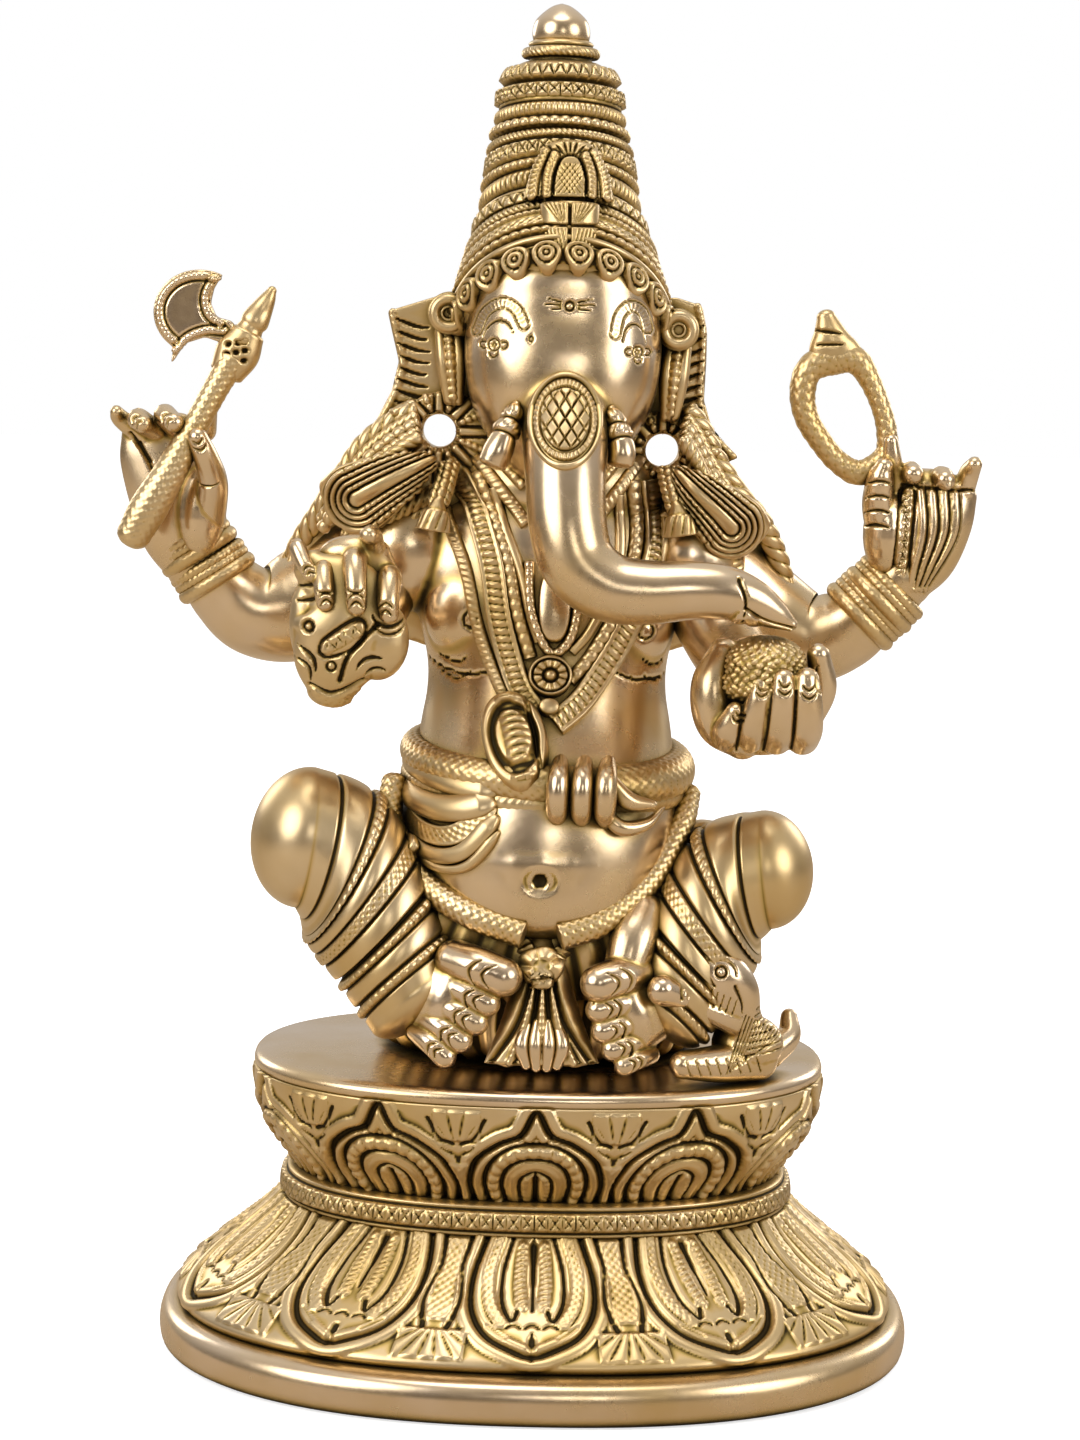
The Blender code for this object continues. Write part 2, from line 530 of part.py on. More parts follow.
def make_rear_hands(metal, dark_metal):
    """The axe in the rear right hand, and the noose standing on the rear left one."""
    add_casting("axe_shaft", limb(AXE_SHAFT, 10, 14), metal)
    add_casting("axe_blade", plate(AXE_BLADE, -7.0, 1.8), metal)
    palm = [(-53.2, 0.8, 118.8, 4.6, 4.2), (-55.4, 0, 124, 6.6, 4.4), (-56.8, -0.4, 130, 7.4, 4.2),
            (-57.4, -0.6, 136, 7, 3.6)]
    paths = [[(x, -0.4, 135, 1.7, 1.7), (x - 0.2, -2.4, 140.4, 1.7, 1.7), (x + 0.4, -6, 140.6, 1.6, 1.6),
              (x + 1, -8.4, 138, 1.5, 1.5)] for x in (-63, -59.8, -56.5, -53.2)]
    thumb = [(-51, -1, 126, 2, 2), (-49.4, -5, 131.5, 1.9, 1.9), (-51.2, -7.6, 136.6, 1.6, 1.6)]
    run_together("rear_right_hand", [limb(palm, 14, 7)] + fingers(paths + [thumb]), metal, 320, 0.7)

    rings = []
    turns = 22
    for i in range(turns):
        along, wide = math.cos(2 * math.pi * i / turns), math.sin(2 * math.pi * i / turns)
        middle = Vector((43.6 - 3.2 * along + wide * (6 - 1.8 * along), -1.5, 146.2 + 10.6 * along + 1.6 * wide))
        ahead = Vector((3.2 * wide + 6 * along, 0, 1.6 * along - 10.6 * wide)).normalized()
        out = Vector((ahead.z, 0, -ahead.x))
        thick = 1.9 + 0.9 * max(along, 0) ** 3
        rings.append([middle + out * thick * math.cos(t) + Vector((0, 1.6 * math.sin(t), 0))
                      for t in (math.pi * k / 3 for k in range(6))])
    add_casting("noose", bridge(rings, endless=True), dark_metal)
    palm = [(53.6, 0.8, 118.8, 4.6, 4.2), (56.2, 0, 123, 6.4, 4.4), (57.4, -0.2, 128.5, 7.2, 4.2),
            (57.4, -0.4, 132.6, 7, 3.6)]
    paths = [[(x - 1, 0, 130, 1.9, 1.9), (x, -0.6, 134, 1.8, 1.8), (x + 0.2, -3, lift, 1.6, 1.6)]
             for x, lift in ((55.4, 135.4), (59.2, 136.0), (62.8, 136.6))]
    thumb = [(50.4, 0, 122, 2.6, 2.4), (49, -1.6, 127.6, 2.3, 2.2), (49.8, -2.2, 133.4, 1.8, 1.8)]
    run_together("rear_left_hand", [limb(palm, 14, 7)] + fingers(paths + [thumb]), metal, 320, 0.7)


def make_front_hands(metal, dark_metal):
    """The broken tusk in the front right hand, and the sweet on the front left one."""
    tusk = [(-30.6, -25, 101.4, 3.4, 2.4), (-30, -26.6, 106.6, 7.2, 3.6), (-29.4, -27, 112, 8.4, 3.6),
            (-29.6, -26.4, 116.8, 6.6, 3)]
    add_casting("broken_tusk", limb(tusk, 14, 7), dark_metal)
    palm = [(-29.4, -22.4, 112.6, 6.6, 3.2), (-29.2, -23, 120.6, 7, 3.2), (-29.4, -24.2, 124, 5.4, 2.8)]
    paths = [[(x, -25, top - 2, 1.8, 1.9), (x, -29.6, top - 1.6, 1.9, 1.9), (x, -31.8, tip + 1.4, 1.7, 1.7)]
             for x, top, tip in ((-35.2, 122.2, 116.8), (-31.2, 122, 114.8), (-26.6, 125, 114.2), (-22.8, 121.4, 113.2))]
    run_together("front_right_hand", [limb(palm, 12, 6)] + fingers(paths), metal, 320, 0.7)
    add_casting("sweet_ball", limb([(31.4, -27, 106.8, 5.6, 5.2), (31.6, -27, 109.2, 5.4, 5)], 14, 2), dark_metal)
    bowl = [
        [(25.4, -23.8, 108.4, 2.6, 2.8), (24.4, -24.6, 102.8, 4, 4.2), (27.6, -25, 98.6, 4.4, 4.2)],
        [(30, -22.6, 107.4, 6, 3.8), (31, -24.2, 102, 7, 4.4), (30.8, -25, 98.6, 5.6, 3.8)],
        [(38, -24, 99.6, 2, 2), (39.4, -25.2, 104.4, 2.1, 2.1), (38.8, -26, 109, 1.7, 1.7)],
    ]
    paths = [[(x, -27, 97, 1.9, 2), (x, -30.8, 99, 1.9, 1.9), (x, -32, top, 1.6, 1.6)]
             for x, top in ((25.4, 101.2), (29, 104.2), (33, 105.6), (36.6, 105.6))]
    run_together("front_left_hand", fingers(bowl, sides=12) + fingers(paths), metal, 340, 0.7)


def make_mouse(metal):
    """The mouse by the left foot, sitting up with a sweet held out in its paw."""
    stations = [
        [(33.6, -16.6, 49.4, 4, 3.6), (32, -18, 53.6, 4.6, 4.2), (29.6, -19.4, 58.4, 3.4, 3.2)],
        [(29.8, -19, 58.8, 3, 2.8), (29.4, -20.4, 63.6, 4, 3.2), (26, -21.6, 66.4, 2.8, 2.4), (23.4, -22.4, 67.8, 1.2, 1.2)],
        [(28.8, -20.4, 57.2, 2.2, 2), (22.8, -24, 60, 1.7, 1.7), (17.6, -26.6, 61.8, 2.6, 2.6)],
        [(33, -18.4, 48.8, 3, 2.6), (27, -21.4, 48.2, 2.4, 2.2), (21.8, -24, 48.4, 1.9, 1.9)],
        [(34, -14.4, 49.2, 2.6, 2.6), (37.4, -12.4, 52, 1.9, 1.9), (38, -9.2, 50.2, 1.4, 1.4)],
    ]
    run_together("mouse", [limb(path, 10, 6) for path in stations], metal, 400, 0.75)


def main():
    """Builds every casting, then cuts each back from the ones it seats against."""
    for obj in list(bpy.data.objects):
        bpy.data.objects.remove(obj)
    polished = (BRASS, 0.28)
    chased = (ANTIQUE_BRASS, 0.42)
    make_pedestal(polished)
    make_lower_body(polished)
    make_waist(chased)
    make_head(polished, chased)
    make_crown(chased)
    make_arms(polished, chased)
    make_drapery(chased)
    make_rear_hands(polished, chased)
    make_front_hands(polished, chased)
    make_mouse(polished)
    seat_castings()


main()
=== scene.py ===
"""The looks of a cast brass Ganesha idol: chased and polished castings on a double-lotus pedestal.

The figure faces -Y and +Z is up. Lengths are millimetres until a mesh is written, which is in metres.
Left and right are the figure's own: its right hand is at -X.
"""

import math

import bpy
import numpy as np
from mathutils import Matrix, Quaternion, Vector
from mathutils.bvhtree import BVHTree


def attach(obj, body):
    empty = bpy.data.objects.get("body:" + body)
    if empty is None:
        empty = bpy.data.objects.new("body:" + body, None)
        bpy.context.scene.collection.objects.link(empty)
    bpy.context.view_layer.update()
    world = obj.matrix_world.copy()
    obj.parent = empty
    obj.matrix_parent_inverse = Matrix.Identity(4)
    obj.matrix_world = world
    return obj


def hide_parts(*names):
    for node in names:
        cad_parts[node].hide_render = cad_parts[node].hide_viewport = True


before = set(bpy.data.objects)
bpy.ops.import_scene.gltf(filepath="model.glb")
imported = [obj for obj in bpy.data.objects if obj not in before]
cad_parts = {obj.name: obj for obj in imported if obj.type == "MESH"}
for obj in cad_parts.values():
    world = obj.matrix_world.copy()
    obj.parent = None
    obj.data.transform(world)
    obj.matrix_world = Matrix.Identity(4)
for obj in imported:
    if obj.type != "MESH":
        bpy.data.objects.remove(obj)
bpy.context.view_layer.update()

MM = 0.001
TURN = 2 * math.pi
POLISHED, CHASED = "polished_brass", "chased_brass"

SIDES = (("right", -1), ("left", 1))

# The pedestal's plan is a superellipse, with the same petals on both lotus tiers
PLAN_POWER = 2.3
PETALS = 10
LOWER_PETAL_WIDTH = 27.0
UPPER_PETAL_WIDTH = 23.7

# How far a stroke's pattern is looked for on each side of its line, unless the stroke says
STROKE_REACH = 1
# A pattern wider than any limb, which so goes all round it
ALL_ROUND = 99
# The voxel that hands, feet and other fine castings are fused at
FINE_VOXEL = 0.22

# Roughness of the clean metal, how much patina lies on its high places, and its colour
BRASS = {
    POLISHED: (0.17, 0.06, (0.755, 0.595, 0.42)),
    CHASED: (0.24, 0.14, (0.735, 0.58, 0.37)),
}
# Colours from clean metal to dark: the patina in the hollows, and painted shade where ambient occlusion
# darkens crevices and meeting pieces
PATINA_AND_SHADE_STOPS = [(0.28, (0.62, 0.43, 0.18, 1)), (0.52, (0.42, 0.29, 0.085, 1)), (0.76, (0.17, 0.115, 0.032, 1)),
              (1.0, (0.045, 0.032, 0.014, 1))]
PATINA_ROUGHNESS = 0.58

# The camera and lamps are in metres
CAMERA_PLACE = (0, -0.5, 0.16)
CAMERA_AIM = (-0.00088, 0, 0.0958)
CAMERA_LENS = 82.9
CAMERA_ROLL = 1.285
LAMP_AIM = (0, 0, 0.10)
# Name, place, width and power
LAMPS = [
    ("key", (-0.55, -0.50, 0.46), 0.62, 3.7), ("fill", (0.62, -0.42, 0.36), 0.50, 2.4),
    ("top", (0.0, -0.15, 0.85), 0.5, 1.8), ("front", (0.12, -0.9, 0.34), 0.20, 0.5),
    ("back_left", (-0.5, 0.55, 0.35), 0.35, 0.9), ("back_right", (0.5, 0.55, 0.35), 0.35, 0.9),
]

materials = {}


# ---------------------------------------------------------------- curves

def smooth_line(stations, endless=False, per_span=24):
    """A dense smooth curve through the stations, whatever columns each of them holds."""
    p = np.asarray(stations, float)
    if endless:
        p = np.vstack([p[-1], p, p[0], p[1]])
    else:
        p = np.vstack([2 * p[0] - p[1], p, 2 * p[-1] - p[-2]])
    t = np.linspace(0, 1, per_span, endpoint=False)[:, None]
    spans = [
        0.5 * (2 * b + (c - a) * t + (2 * a - 5 * b + 4 * c - d) * t ** 2 + (3 * b - a - 3 * c + d) * t ** 3)
        for a, b, c, d in zip(p[:-3], p[1:-2], p[2:-1], p[3:])
    ]
    return np.vstack(spans + [p[-2][None]])


def lengths_along(line):
    """The distance of each point from the line's start."""
    return np.r_[0, np.cumsum(np.linalg.norm(np.diff(line, axis=0), axis=1))]


def evenly(line, step, columns=3):
    """The line read again at even steps, measured in its first columns."""
    reach = lengths_along(line[:, :columns])
    s = np.linspace(0, reach[-1], max(3, round(reach[-1] / step) + 1))
    return s, np.stack([np.interp(s, reach, line[:, k]) for k in range(line.shape[1])], axis=1)


def arc(middle, half, start, end, count=13):
    """Points on an oval in the XZ plane, between two angles in degrees counted from +X towards +Z."""
    t = np.radians(np.linspace(start, end, count))
    return np.stack([middle[0] + half[0] * np.cos(t), middle[1] + half[1] * np.sin(t)], axis=1)


def unit(v):
    """Vectors scaled to length one."""
    return v / np.maximum(np.linalg.norm(v, axis=-1, keepdims=True), 1e-9)


# ---------------------------------------------------------------- patterns
# A pattern gives a height from d, the distance across its line, and s, the distance along its length n.

def hump(x):
    return np.clip(1 - x * x, 0, None)


def plateau(d, half, edge=0.22):
    """One inside the half width, falling to nought over the edge."""
    return np.clip((half - np.abs(d)) / edge, 0, 1)


def groove(half, depth):
    return lambda d, s, n: -depth * hump(d / half)


def wedge(half, depth):
    """A cut that narrows from its start to its end."""
    return lambda d, s, n: -depth * hump(d / (half * np.clip(1.05 - s / max(n, 1e-6), 0.05, 1)))


def lens(half, depth):
    """A cut that is widest in its middle and sharp at both ends."""
    return lambda d, s, n: -depth * hump(d / (half * np.clip(4 * s * (n - s) / max(n * n, 1e-6), 0.12, 1)))


def ridge(half, height):
    return lambda d, s, n: height * np.sqrt(hump(d / half))


def beads(half, height):
    pitch = 1.9 * half

    def pattern(d, s, n):
        a = ((s / pitch) % 1 - 0.5) * pitch
        return height * (0.25 * plateau(d, half) + 0.75 * np.sqrt(hump(np.hypot(d, a) / half)))
    return pattern


def ribs(half, height, pitch, slant=0.0):
    """A rounded band cut across, or slantwise, like a milled edge or a rope."""
    def pattern(d, s, n):
        wave = 0.5 + 0.5 * np.cos(TURN * (s + slant * d) / pitch)
        return height * np.sqrt(hump(d / half)) * (0.35 + 0.65 * np.sqrt(wave))
    return pattern


def scales(half, height, pitch):
    """Staggered overlapping scales, each one sloping along the line."""
    def pattern(d, s, n):
        best = np.zeros(np.broadcast(d, s).shape)
        for shift in (0, 0.5):
            a = (s / pitch + shift) % 1 - 0.5
            b = (d / pitch + shift) % 1 - 0.5
            best = np.maximum(best, np.sqrt(hump(np.hypot(a, b) / 0.56)) * (0.75 + 0.5 * a))
        return height * best * plateau(d, half)
    return pattern


def crosses(half, height, pitch):
    """A band of square cells, each cut by an X."""
    def pattern(d, s, n):
        u = np.abs((s / pitch) % 1 - 0.5)
        w = np.abs(d) / (2 * half)
        cut = np.clip(np.minimum(np.abs(u - w), 0.5 - u) / 0.1, 0, 1)
        return height * (0.15 + 0.85 * cut) * plateau(d, half, 0.15)
    return pattern


def zigzag(half, height, pitch):
    """Two rows of triangles that point at each other, with a zigzag cut between them."""
    def pattern(d, s, n):
        wave = 2 * np.abs(((s / pitch) % 1) * 2 - 1) - 1
        return height * np.clip(np.abs(d / half - wave) / 0.35, 0, 1) * plateau(d, half, 0.15)
    return pattern


def rows(*placed):
    """Patterns side by side, each given as its offset across the line and the pattern."""
    return lambda d, s, n: sum(pattern(d - offset, s, n) for offset, pattern in placed)


def edged(middle, offset, border):
    """A pattern between two lines of a border pattern."""
    return rows((0, middle), (offset, border), (-offset, border))


def circle(middle, radius, pattern, count=13):
    """A stroke round a small circle."""
    return arc(middle, (radius, radius), 0, 360, count), pattern


def near(x, z, line):
    """For each point, its signed distance from a line in a plane and where along the line that is."""
    best = np.full(x.shape, 1e9)
    across = np.zeros(x.shape)
    along = np.zeros(x.shape)
    reach = lengths_along(line)
    for k in range(len(line) - 1):
        step = line[k + 1] - line[k]
        size = reach[k + 1] - reach[k]
        if size < 1e-9:
            continue
        px, pz = x - line[k, 0], z - line[k, 1]
        t = np.clip((px * step[0] + pz * step[1]) / size ** 2, 0, 1)
        gap = np.hypot(px - t * step[0], pz - t * step[1])
        closer = gap < best
        side = np.sign(px * step[1] - pz * step[0])
        best = np.where(closer, gap, best)
        across = np.where(closer, gap * side, across)
        along = np.where(closer, reach[k] + t * size, along)
    return across, along


def drawn(x, z, strokes):
    """The height at points of a plane under strokes, each its points, its pattern and maybe its reach."""
    height = np.zeros(x.shape)
    for points, pattern, *wide in strokes:
        reach = wide[0] if wide else STROKE_REACH
        points = np.asarray(points, float)
        line = evenly(smooth_line(points, per_span=8), 0.5, 2)[1] if len(points) > 2 else points
        low, high = line.min(axis=0) - reach, line.max(axis=0) + reach
        inside = (x > low[0]) & (x < high[0]) & (z > low[1]) & (z < high[1])
        if inside.any():
            d, s = near(x[inside], z[inside], line)
            height[inside] += pattern(d, s, lengths_along(line)[-1])
    return height


# ---------------------------------------------------------------- shapes
# A shape is its points, its quads and its triangles.

def skin(rings, endless=False):
    """Quads between rings of equal count, and a fan over each end unless the last ring meets the first."""
    rings = np.asarray(rings, float)
    count, sides = rings.shape[:2]
    points = rings.reshape(-1, 3)
    i = np.arange(sides)
    j = (i + 1) % sides
    k = np.arange(count if endless else count - 1)[:, None]
    low, high = k * sides, (k + 1) % count * sides
    quads = np.stack([low + i, low + j, high + j, high + i], axis=-1).reshape(-1, 4)
    if endless:
        return points, quads, np.zeros((0, 3), int)
    tips = np.stack([rings[0].mean(axis=0), rings[-1].mean(axis=0)])
    start = (count - 1) * sides
    fans = [np.stack([j, i, np.full(sides, len(points))], axis=1),
            np.stack([start + i, start + j, np.full(sides, len(points) + 1)], axis=1)]
    return np.vstack([points, tips]), quads, np.vstack(fans)


def joined(shapes):
    """Several shapes as one."""
    starts = np.cumsum([0] + [len(s[0]) for s in shapes])
    return (np.vstack([s[0] for s in shapes]),
            np.vstack([s[1] + start for s, start in zip(shapes, starts)]),
            np.vstack([s[2] + start for s, start in zip(shapes, starts)]))


def normals_of(shape):
    """A unit normal for each point."""
    points, quads, triangles = shape
    total = np.zeros(points.shape)
    for faces in (quads, triangles):
        if not len(faces):
            continue
        corners = points[faces]
        normal = np.cross(corners[:, 2] - corners[:, 0], corners[:, -1] - corners[:, 1])
        for corner in faces.T:
            for axis in range(3):
                total[:, axis] += np.bincount(corner, normal[:, axis], len(points))
    return unit(total)


def turned_out(shape):
    """The shape with its faces looking outwards."""
    points, quads, triangles = shape
    volume = 0.0
    for faces in (triangles, quads[:, :3], quads[:, [0, 2, 3]]):
        a, b, c = (points[faces[:, k]] for k in range(3))
        volume += np.einsum("ij,ij->", a, np.cross(b, c))
    if volume < 0:
        return points, quads[:, ::-1], triangles[:, ::-1]
    return points, quads, triangles


def sweep(stations, step, sides, relief=None, depth_axis=(0, 1, 0), ends=(1.0, 1.0), endless=False):
    """A limb along stations of x, y, z, half width and half depth, and maybe the way each section faces.

    relief(s, around, turn) raises its skin; turn is the angle, at -90 degrees where the limb faces -Y.
    ends gives how far each end is domed, in half widths.
    """
    s, line = evenly(smooth_line(stations, endless), step)
    if endless:
        s, line = s[:-1], line[:-1]
        ahead = unit(np.roll(line, -1, axis=0)[:, :3] - np.roll(line, 1, axis=0)[:, :3])
    else:
        ahead = unit(np.gradient(line[:, :3], axis=0))
    if line.shape[1] == 8:
        ahead = unit(line[:, 5:8])
    scale = np.ones(len(s))
    for which, k in ((0, 0), (1, -1)):
        reach = ends[which] * min(line[k, 3], line[k, 4])
        if endless or reach <= 0:
            continue
        steps = max(4, math.ceil(1.6 * reach / step))
        lean = np.sin(np.linspace(0, math.pi / 2, steps + 1)[1:] * 0.985)
        tips = np.repeat(line[k][None], steps, axis=0)
        tips[:, :3] += (1 if which else -1) * np.outer(lean * reach, ahead[k])
        size = np.sqrt(1 - lean ** 2)
        if which:
            line = np.vstack([line, tips])
            ahead = np.vstack([ahead, np.repeat(ahead[k][None], steps, axis=0)])
            scale, s = np.r_[scale, size], np.r_[s, s[-1] + lean * reach]
        else:
            line = np.vstack([tips[::-1], line])
            ahead = np.vstack([np.repeat(ahead[k][None], steps, axis=0), ahead])
            scale, s = np.r_[size[::-1], scale], np.r_[-(lean * reach)[::-1], s]
    across = unit(np.cross(np.asarray(depth_axis, float), ahead))
    deep = np.cross(ahead, across)
    turn = np.linspace(-math.pi, math.pi, sides, endpoint=False)
    c, sn = np.cos(turn), np.sin(turn)
    wide, tall = (line[:, 3] * scale)[:, None], (line[:, 4] * scale)[:, None]
    rings = line[:, None, :3] + across[:, None] * (wide * c)[..., None]
    rings = rings + deep[:, None] * (tall * sn)[..., None]
    if relief is not None:
        out = unit(
            across[:, None] * (c / line[:, 3:4])[..., None] + deep[:, None] * (sn / line[:, 4:5])[..., None]
        )
        around = turn[None] * (line[:, 3:4] + line[:, 4:5]) / 2
        fade = np.clip(scale * 2.5, 0, 1)[:, None]
        rings = rings + out * (relief(s[:, None], around, turn[None]) * fade)[..., None]
    return turned_out(skin(rings, endless))


def banded(*bands):
    """Relief of rings round a limb, each given as its place along the limb and its pattern."""
    return lambda s, around, turn: sum(pattern(s - place, around, 1) for place, pattern in bands)


def clad(pattern):
    """Relief of one pattern all round a limb, running along it."""
    return lambda s, around, turn: pattern(around, s, 1)


def blob(middle, half):
    """An egg-shaped solid."""
    sides = 28
    lift = np.linspace(-0.98, 0.98, sides // 2) * math.pi / 2
    turn = np.linspace(0, TURN, sides, endpoint=False)
    rings = np.stack([
        np.stack([
            middle[0] + half[0] * math.cos(a) * np.cos(turn),
            middle[1] + half[1] * math.cos(a) * np.sin(turn),
            np.full(sides, middle[2] + half[2] * math.sin(a))
        ], axis=1)
        for a in lift
    ])
    return turned_out(skin(rings))


def plan_angles(half, power, columns):
    """Angles that step evenly round a superellipse, from its front towards +X."""
    t = np.linspace(0, TURN, 4 * columns + 1)
    edge = superellipse(t, half, power)
    reach = lengths_along(edge)
    return np.interp(np.linspace(0, reach[-1], columns, endpoint=False), reach, t), reach[-1]


def superellipse(t, half, power):
    """Points at angle t from the front (-Y) towards +X."""
    s, c = np.sin(t), np.cos(t)
    return np.stack([half[0] * np.sign(s) * np.abs(s) ** (2 / power),
                     -half[1] * np.sign(c) * np.abs(c) ** (2 / power)], axis=-1)


def wall(levels, pitch, power=2.0, relief=None, hollow=0.0):
    """A turned solid through levels of z, x, y, half width, half depth and how much its front is lifted.

    relief(u, t, z, share) raises it: u is the distance round it from its front, share the same as a part of
    the whole way round, t the distance up its side, z the level. hollow is its wall, or nought for a solid.
    The lift is whole in front and a quarter as much behind, with a soft turn between the two.
    """
    line = smooth_line(levels)
    order = line[:, [3, 0, 1, 2, 4, 5]]
    t, even = evenly(order, pitch, 2)
    a, z, x, y, b, drop = even.T
    columns = round(TURN * math.sqrt((a.max() ** 2 + b.max() ** 2) / 2) / pitch)
    turn, around = plan_angles((a.mean(), b.mean()), power, columns)
    edge = superellipse(turn[None], (a[:, None], b[:, None]), power)
    fall = 0.625 * edge[..., 1] - 0.375 * np.sqrt(edge[..., 1] ** 2 + 4) + 0.75
    rings = np.stack([
        x[:, None] + edge[..., 0], y[:, None] + edge[..., 1], z[:, None] - drop[:, None] * fall
    ], axis=-1)
    share = np.arange(columns) / columns
    share = np.where(share > 0.5, share - 1, share)
    if relief is not None:
        round_way = np.roll(rings, -1, axis=1) - np.roll(rings, 1, axis=1)
        up_way = np.gradient(rings, axis=0)
        out = unit(np.cross(round_way, up_way))
        height = relief(share[None] * around, t[:, None], z[:, None], share[None])
        rings = rings + out * np.broadcast_to(height, rings.shape[:2])[..., None]
    if not hollow:
        return turned_out(skin(rings))
    slim = 1 - hollow / a.mean()
    inner = np.concatenate([rings[-1:], rings[::-1][6:-6:6], rings[:1]])
    inner = inner * (slim, slim - hollow / 3 / b.mean(), 1)
    return turned_out(skin(np.concatenate([rings, inner]), endless=True))


def object_of(name, shape):
    """A Blender object in metres from a shape in millimetres."""
    points, quads, triangles = shape
    mesh = bpy.data.meshes.new(name)
    mesh.vertices.add(len(points))
    mesh.vertices.foreach_set("co", (points * MM).astype(np.float32).ravel())
    mesh.loops.add(4 * len(quads) + 3 * len(triangles))
    mesh.loops.foreach_set("vertex_index", np.r_[quads.ravel(), triangles.ravel()].astype(np.int32))
    mesh.polygons.add(len(quads) + len(triangles))
    starts = np.r_[4 * np.arange(len(quads)), 4 * len(quads) + 3 * np.arange(len(triangles))]
    mesh.polygons.foreach_set("loop_start", starts.astype(np.int32))
    mesh.update(calc_edges=True)
    obj = bpy.data.objects.new(name, mesh)
    bpy.context.scene.collection.objects.link(obj)
    return obj


def shape_of(mesh):
    """A shape in millimetres from a Blender mesh in metres of quads and triangles."""
    points = np.empty(3 * len(mesh.vertices), np.float32)
    mesh.vertices.foreach_get("co", points)
    corners = np.empty(len(mesh.loops), np.int32)
    mesh.loops.foreach_get("vertex_index", corners)
    starts = np.empty(len(mesh.polygons), np.int32)
    mesh.polygons.foreach_get("loop_start", starts)
    sizes = np.diff(np.r_[starts, len(corners)])
    quads = corners[starts[sizes == 4][:, None] + np.arange(4)]
    triangles = corners[starts[sizes == 3][:, None] + np.arange(3)]
    return points.reshape(-1, 3).astype(float) / MM, quads.reshape(-1, 4), triangles.reshape(-1, 3)


def fused(shapes, voxel, rounds):
    """Overlapping shapes as one evenly meshed skin, smoothed."""
    rough = object_of("rough", joined(shapes))
    remesh = rough.modifiers.new("fuse", "REMESH")
    remesh.mode = "VOXEL"
    remesh.voxel_size = voxel * MM
    soften = rough.modifiers.new("soften", "SMOOTH")
    soften.iterations = rounds
    soften.factor = 0.5
    bpy.context.view_layer.update()
    mesh = bpy.data.meshes.new_from_object(rough.evaluated_get(bpy.context.evaluated_depsgraph_get()))
    shape = shape_of(mesh)
    bpy.data.objects.remove(rough)
    bpy.data.meshes.remove(mesh)
    return turned_out(shape)


def carved(shape, strokes, facing=-1):
    """The shape with strokes drawn on the side that faces -Y, or on the other side with facing 1."""
    points, quads, triangles = shape
    normals = normals_of(shape)
    look = normals[:, 1] * facing
    seen = look > 0.05
    height = np.zeros(len(points))
    height[seen] = drawn(points[seen, 0], points[seen, 2], strokes)
    height *= np.clip((look - 0.05) / 0.3, 0, 1)
    return points + normals * height[:, None], quads, triangles


def ground_of(*shapes):
    """A search tree that ornaments are laid on."""
    points, quads, triangles = joined(shapes)
    return BVHTree.FromPolygons(points.tolist(), quads.tolist() + triangles.tolist())


def landed(ground, x, z):
    """Where rays from the front meet the ground, with its normals, for grids of x and z."""
    spots, normals = np.zeros(x.shape + (3,)), np.zeros(x.shape + (3,))
    last = -10.0
    for index in np.ndindex(x.shape):
        hit, normal = ground.ray_cast(Vector((x[index], -90, z[index])), Vector((0, 1, 0)))[:2]
        if hit is None:
            hit, normal = ground.find_nearest(Vector((x[index], last, z[index])))[:2]
        last = hit[1]
        spots[index], normals[index] = hit, normal
    return spots, normals


def blurred(grid, reach, axis=0):
    """A moving average along one axis, with the ends held."""
    if reach < 1:
        return grid
    padded = np.concatenate([grid.take([0] * reach, axis), grid, grid.take([-1] * reach, axis)], axis)
    total = np.cumsum(np.concatenate([np.zeros_like(padded.take([0], axis)), padded], axis), axis)
    size = 2 * reach + 1
    ends = total.take(range(size, total.shape[axis]), axis)
    starts = total.take(range(total.shape[axis] - size), axis)
    return (ends - starts) / size


def ribbon(ground, stations, half, pattern, lift, taper=0.0):
    """A strip laid on the ground along a line in the XZ plane, with a pattern on its face."""
    step, sink = 0.22, 0.7
    line = evenly(smooth_line(stations), step, 2)[1]
    ahead = unit(np.gradient(line, axis=0))
    side = np.stack([ahead[:, 1], -ahead[:, 0]], axis=1)
    lanes = np.linspace(-half, half, max(7, round(2 * half / step) | 1))
    width = np.ones(len(line))
    if taper:
        ends = np.minimum(np.arange(len(line)), np.arange(len(line))[::-1]) * step
        width = np.clip(np.sqrt(ends / taper + 0.02), 0, 1)
    offset = width[:, None] * lanes[None]
    x = line[:, 0:1] + side[:, 0:1] * offset
    z = line[:, 1:2] + side[:, 1:2] * offset
    spots, normals = landed(ground, x, z)
    spots = blurred(spots, 3)
    normals = unit(blurred(blurred(normals, 4), 2, axis=1))
    s = lengths_along(spots[:, len(lanes) // 2])
    edge = np.sqrt(hump(lanes / (half * 1.001)))[None]
    height = pattern(lanes[None], s[:, None], s[-1]) + lift * np.clip(edge * 3, 0, 1)
    top = spots + normals * (height * width[:, None])[..., None]
    bottom = spots - normals * sink
    return turned_out(skin(np.concatenate([top, bottom[:, ::-1]], axis=1)))


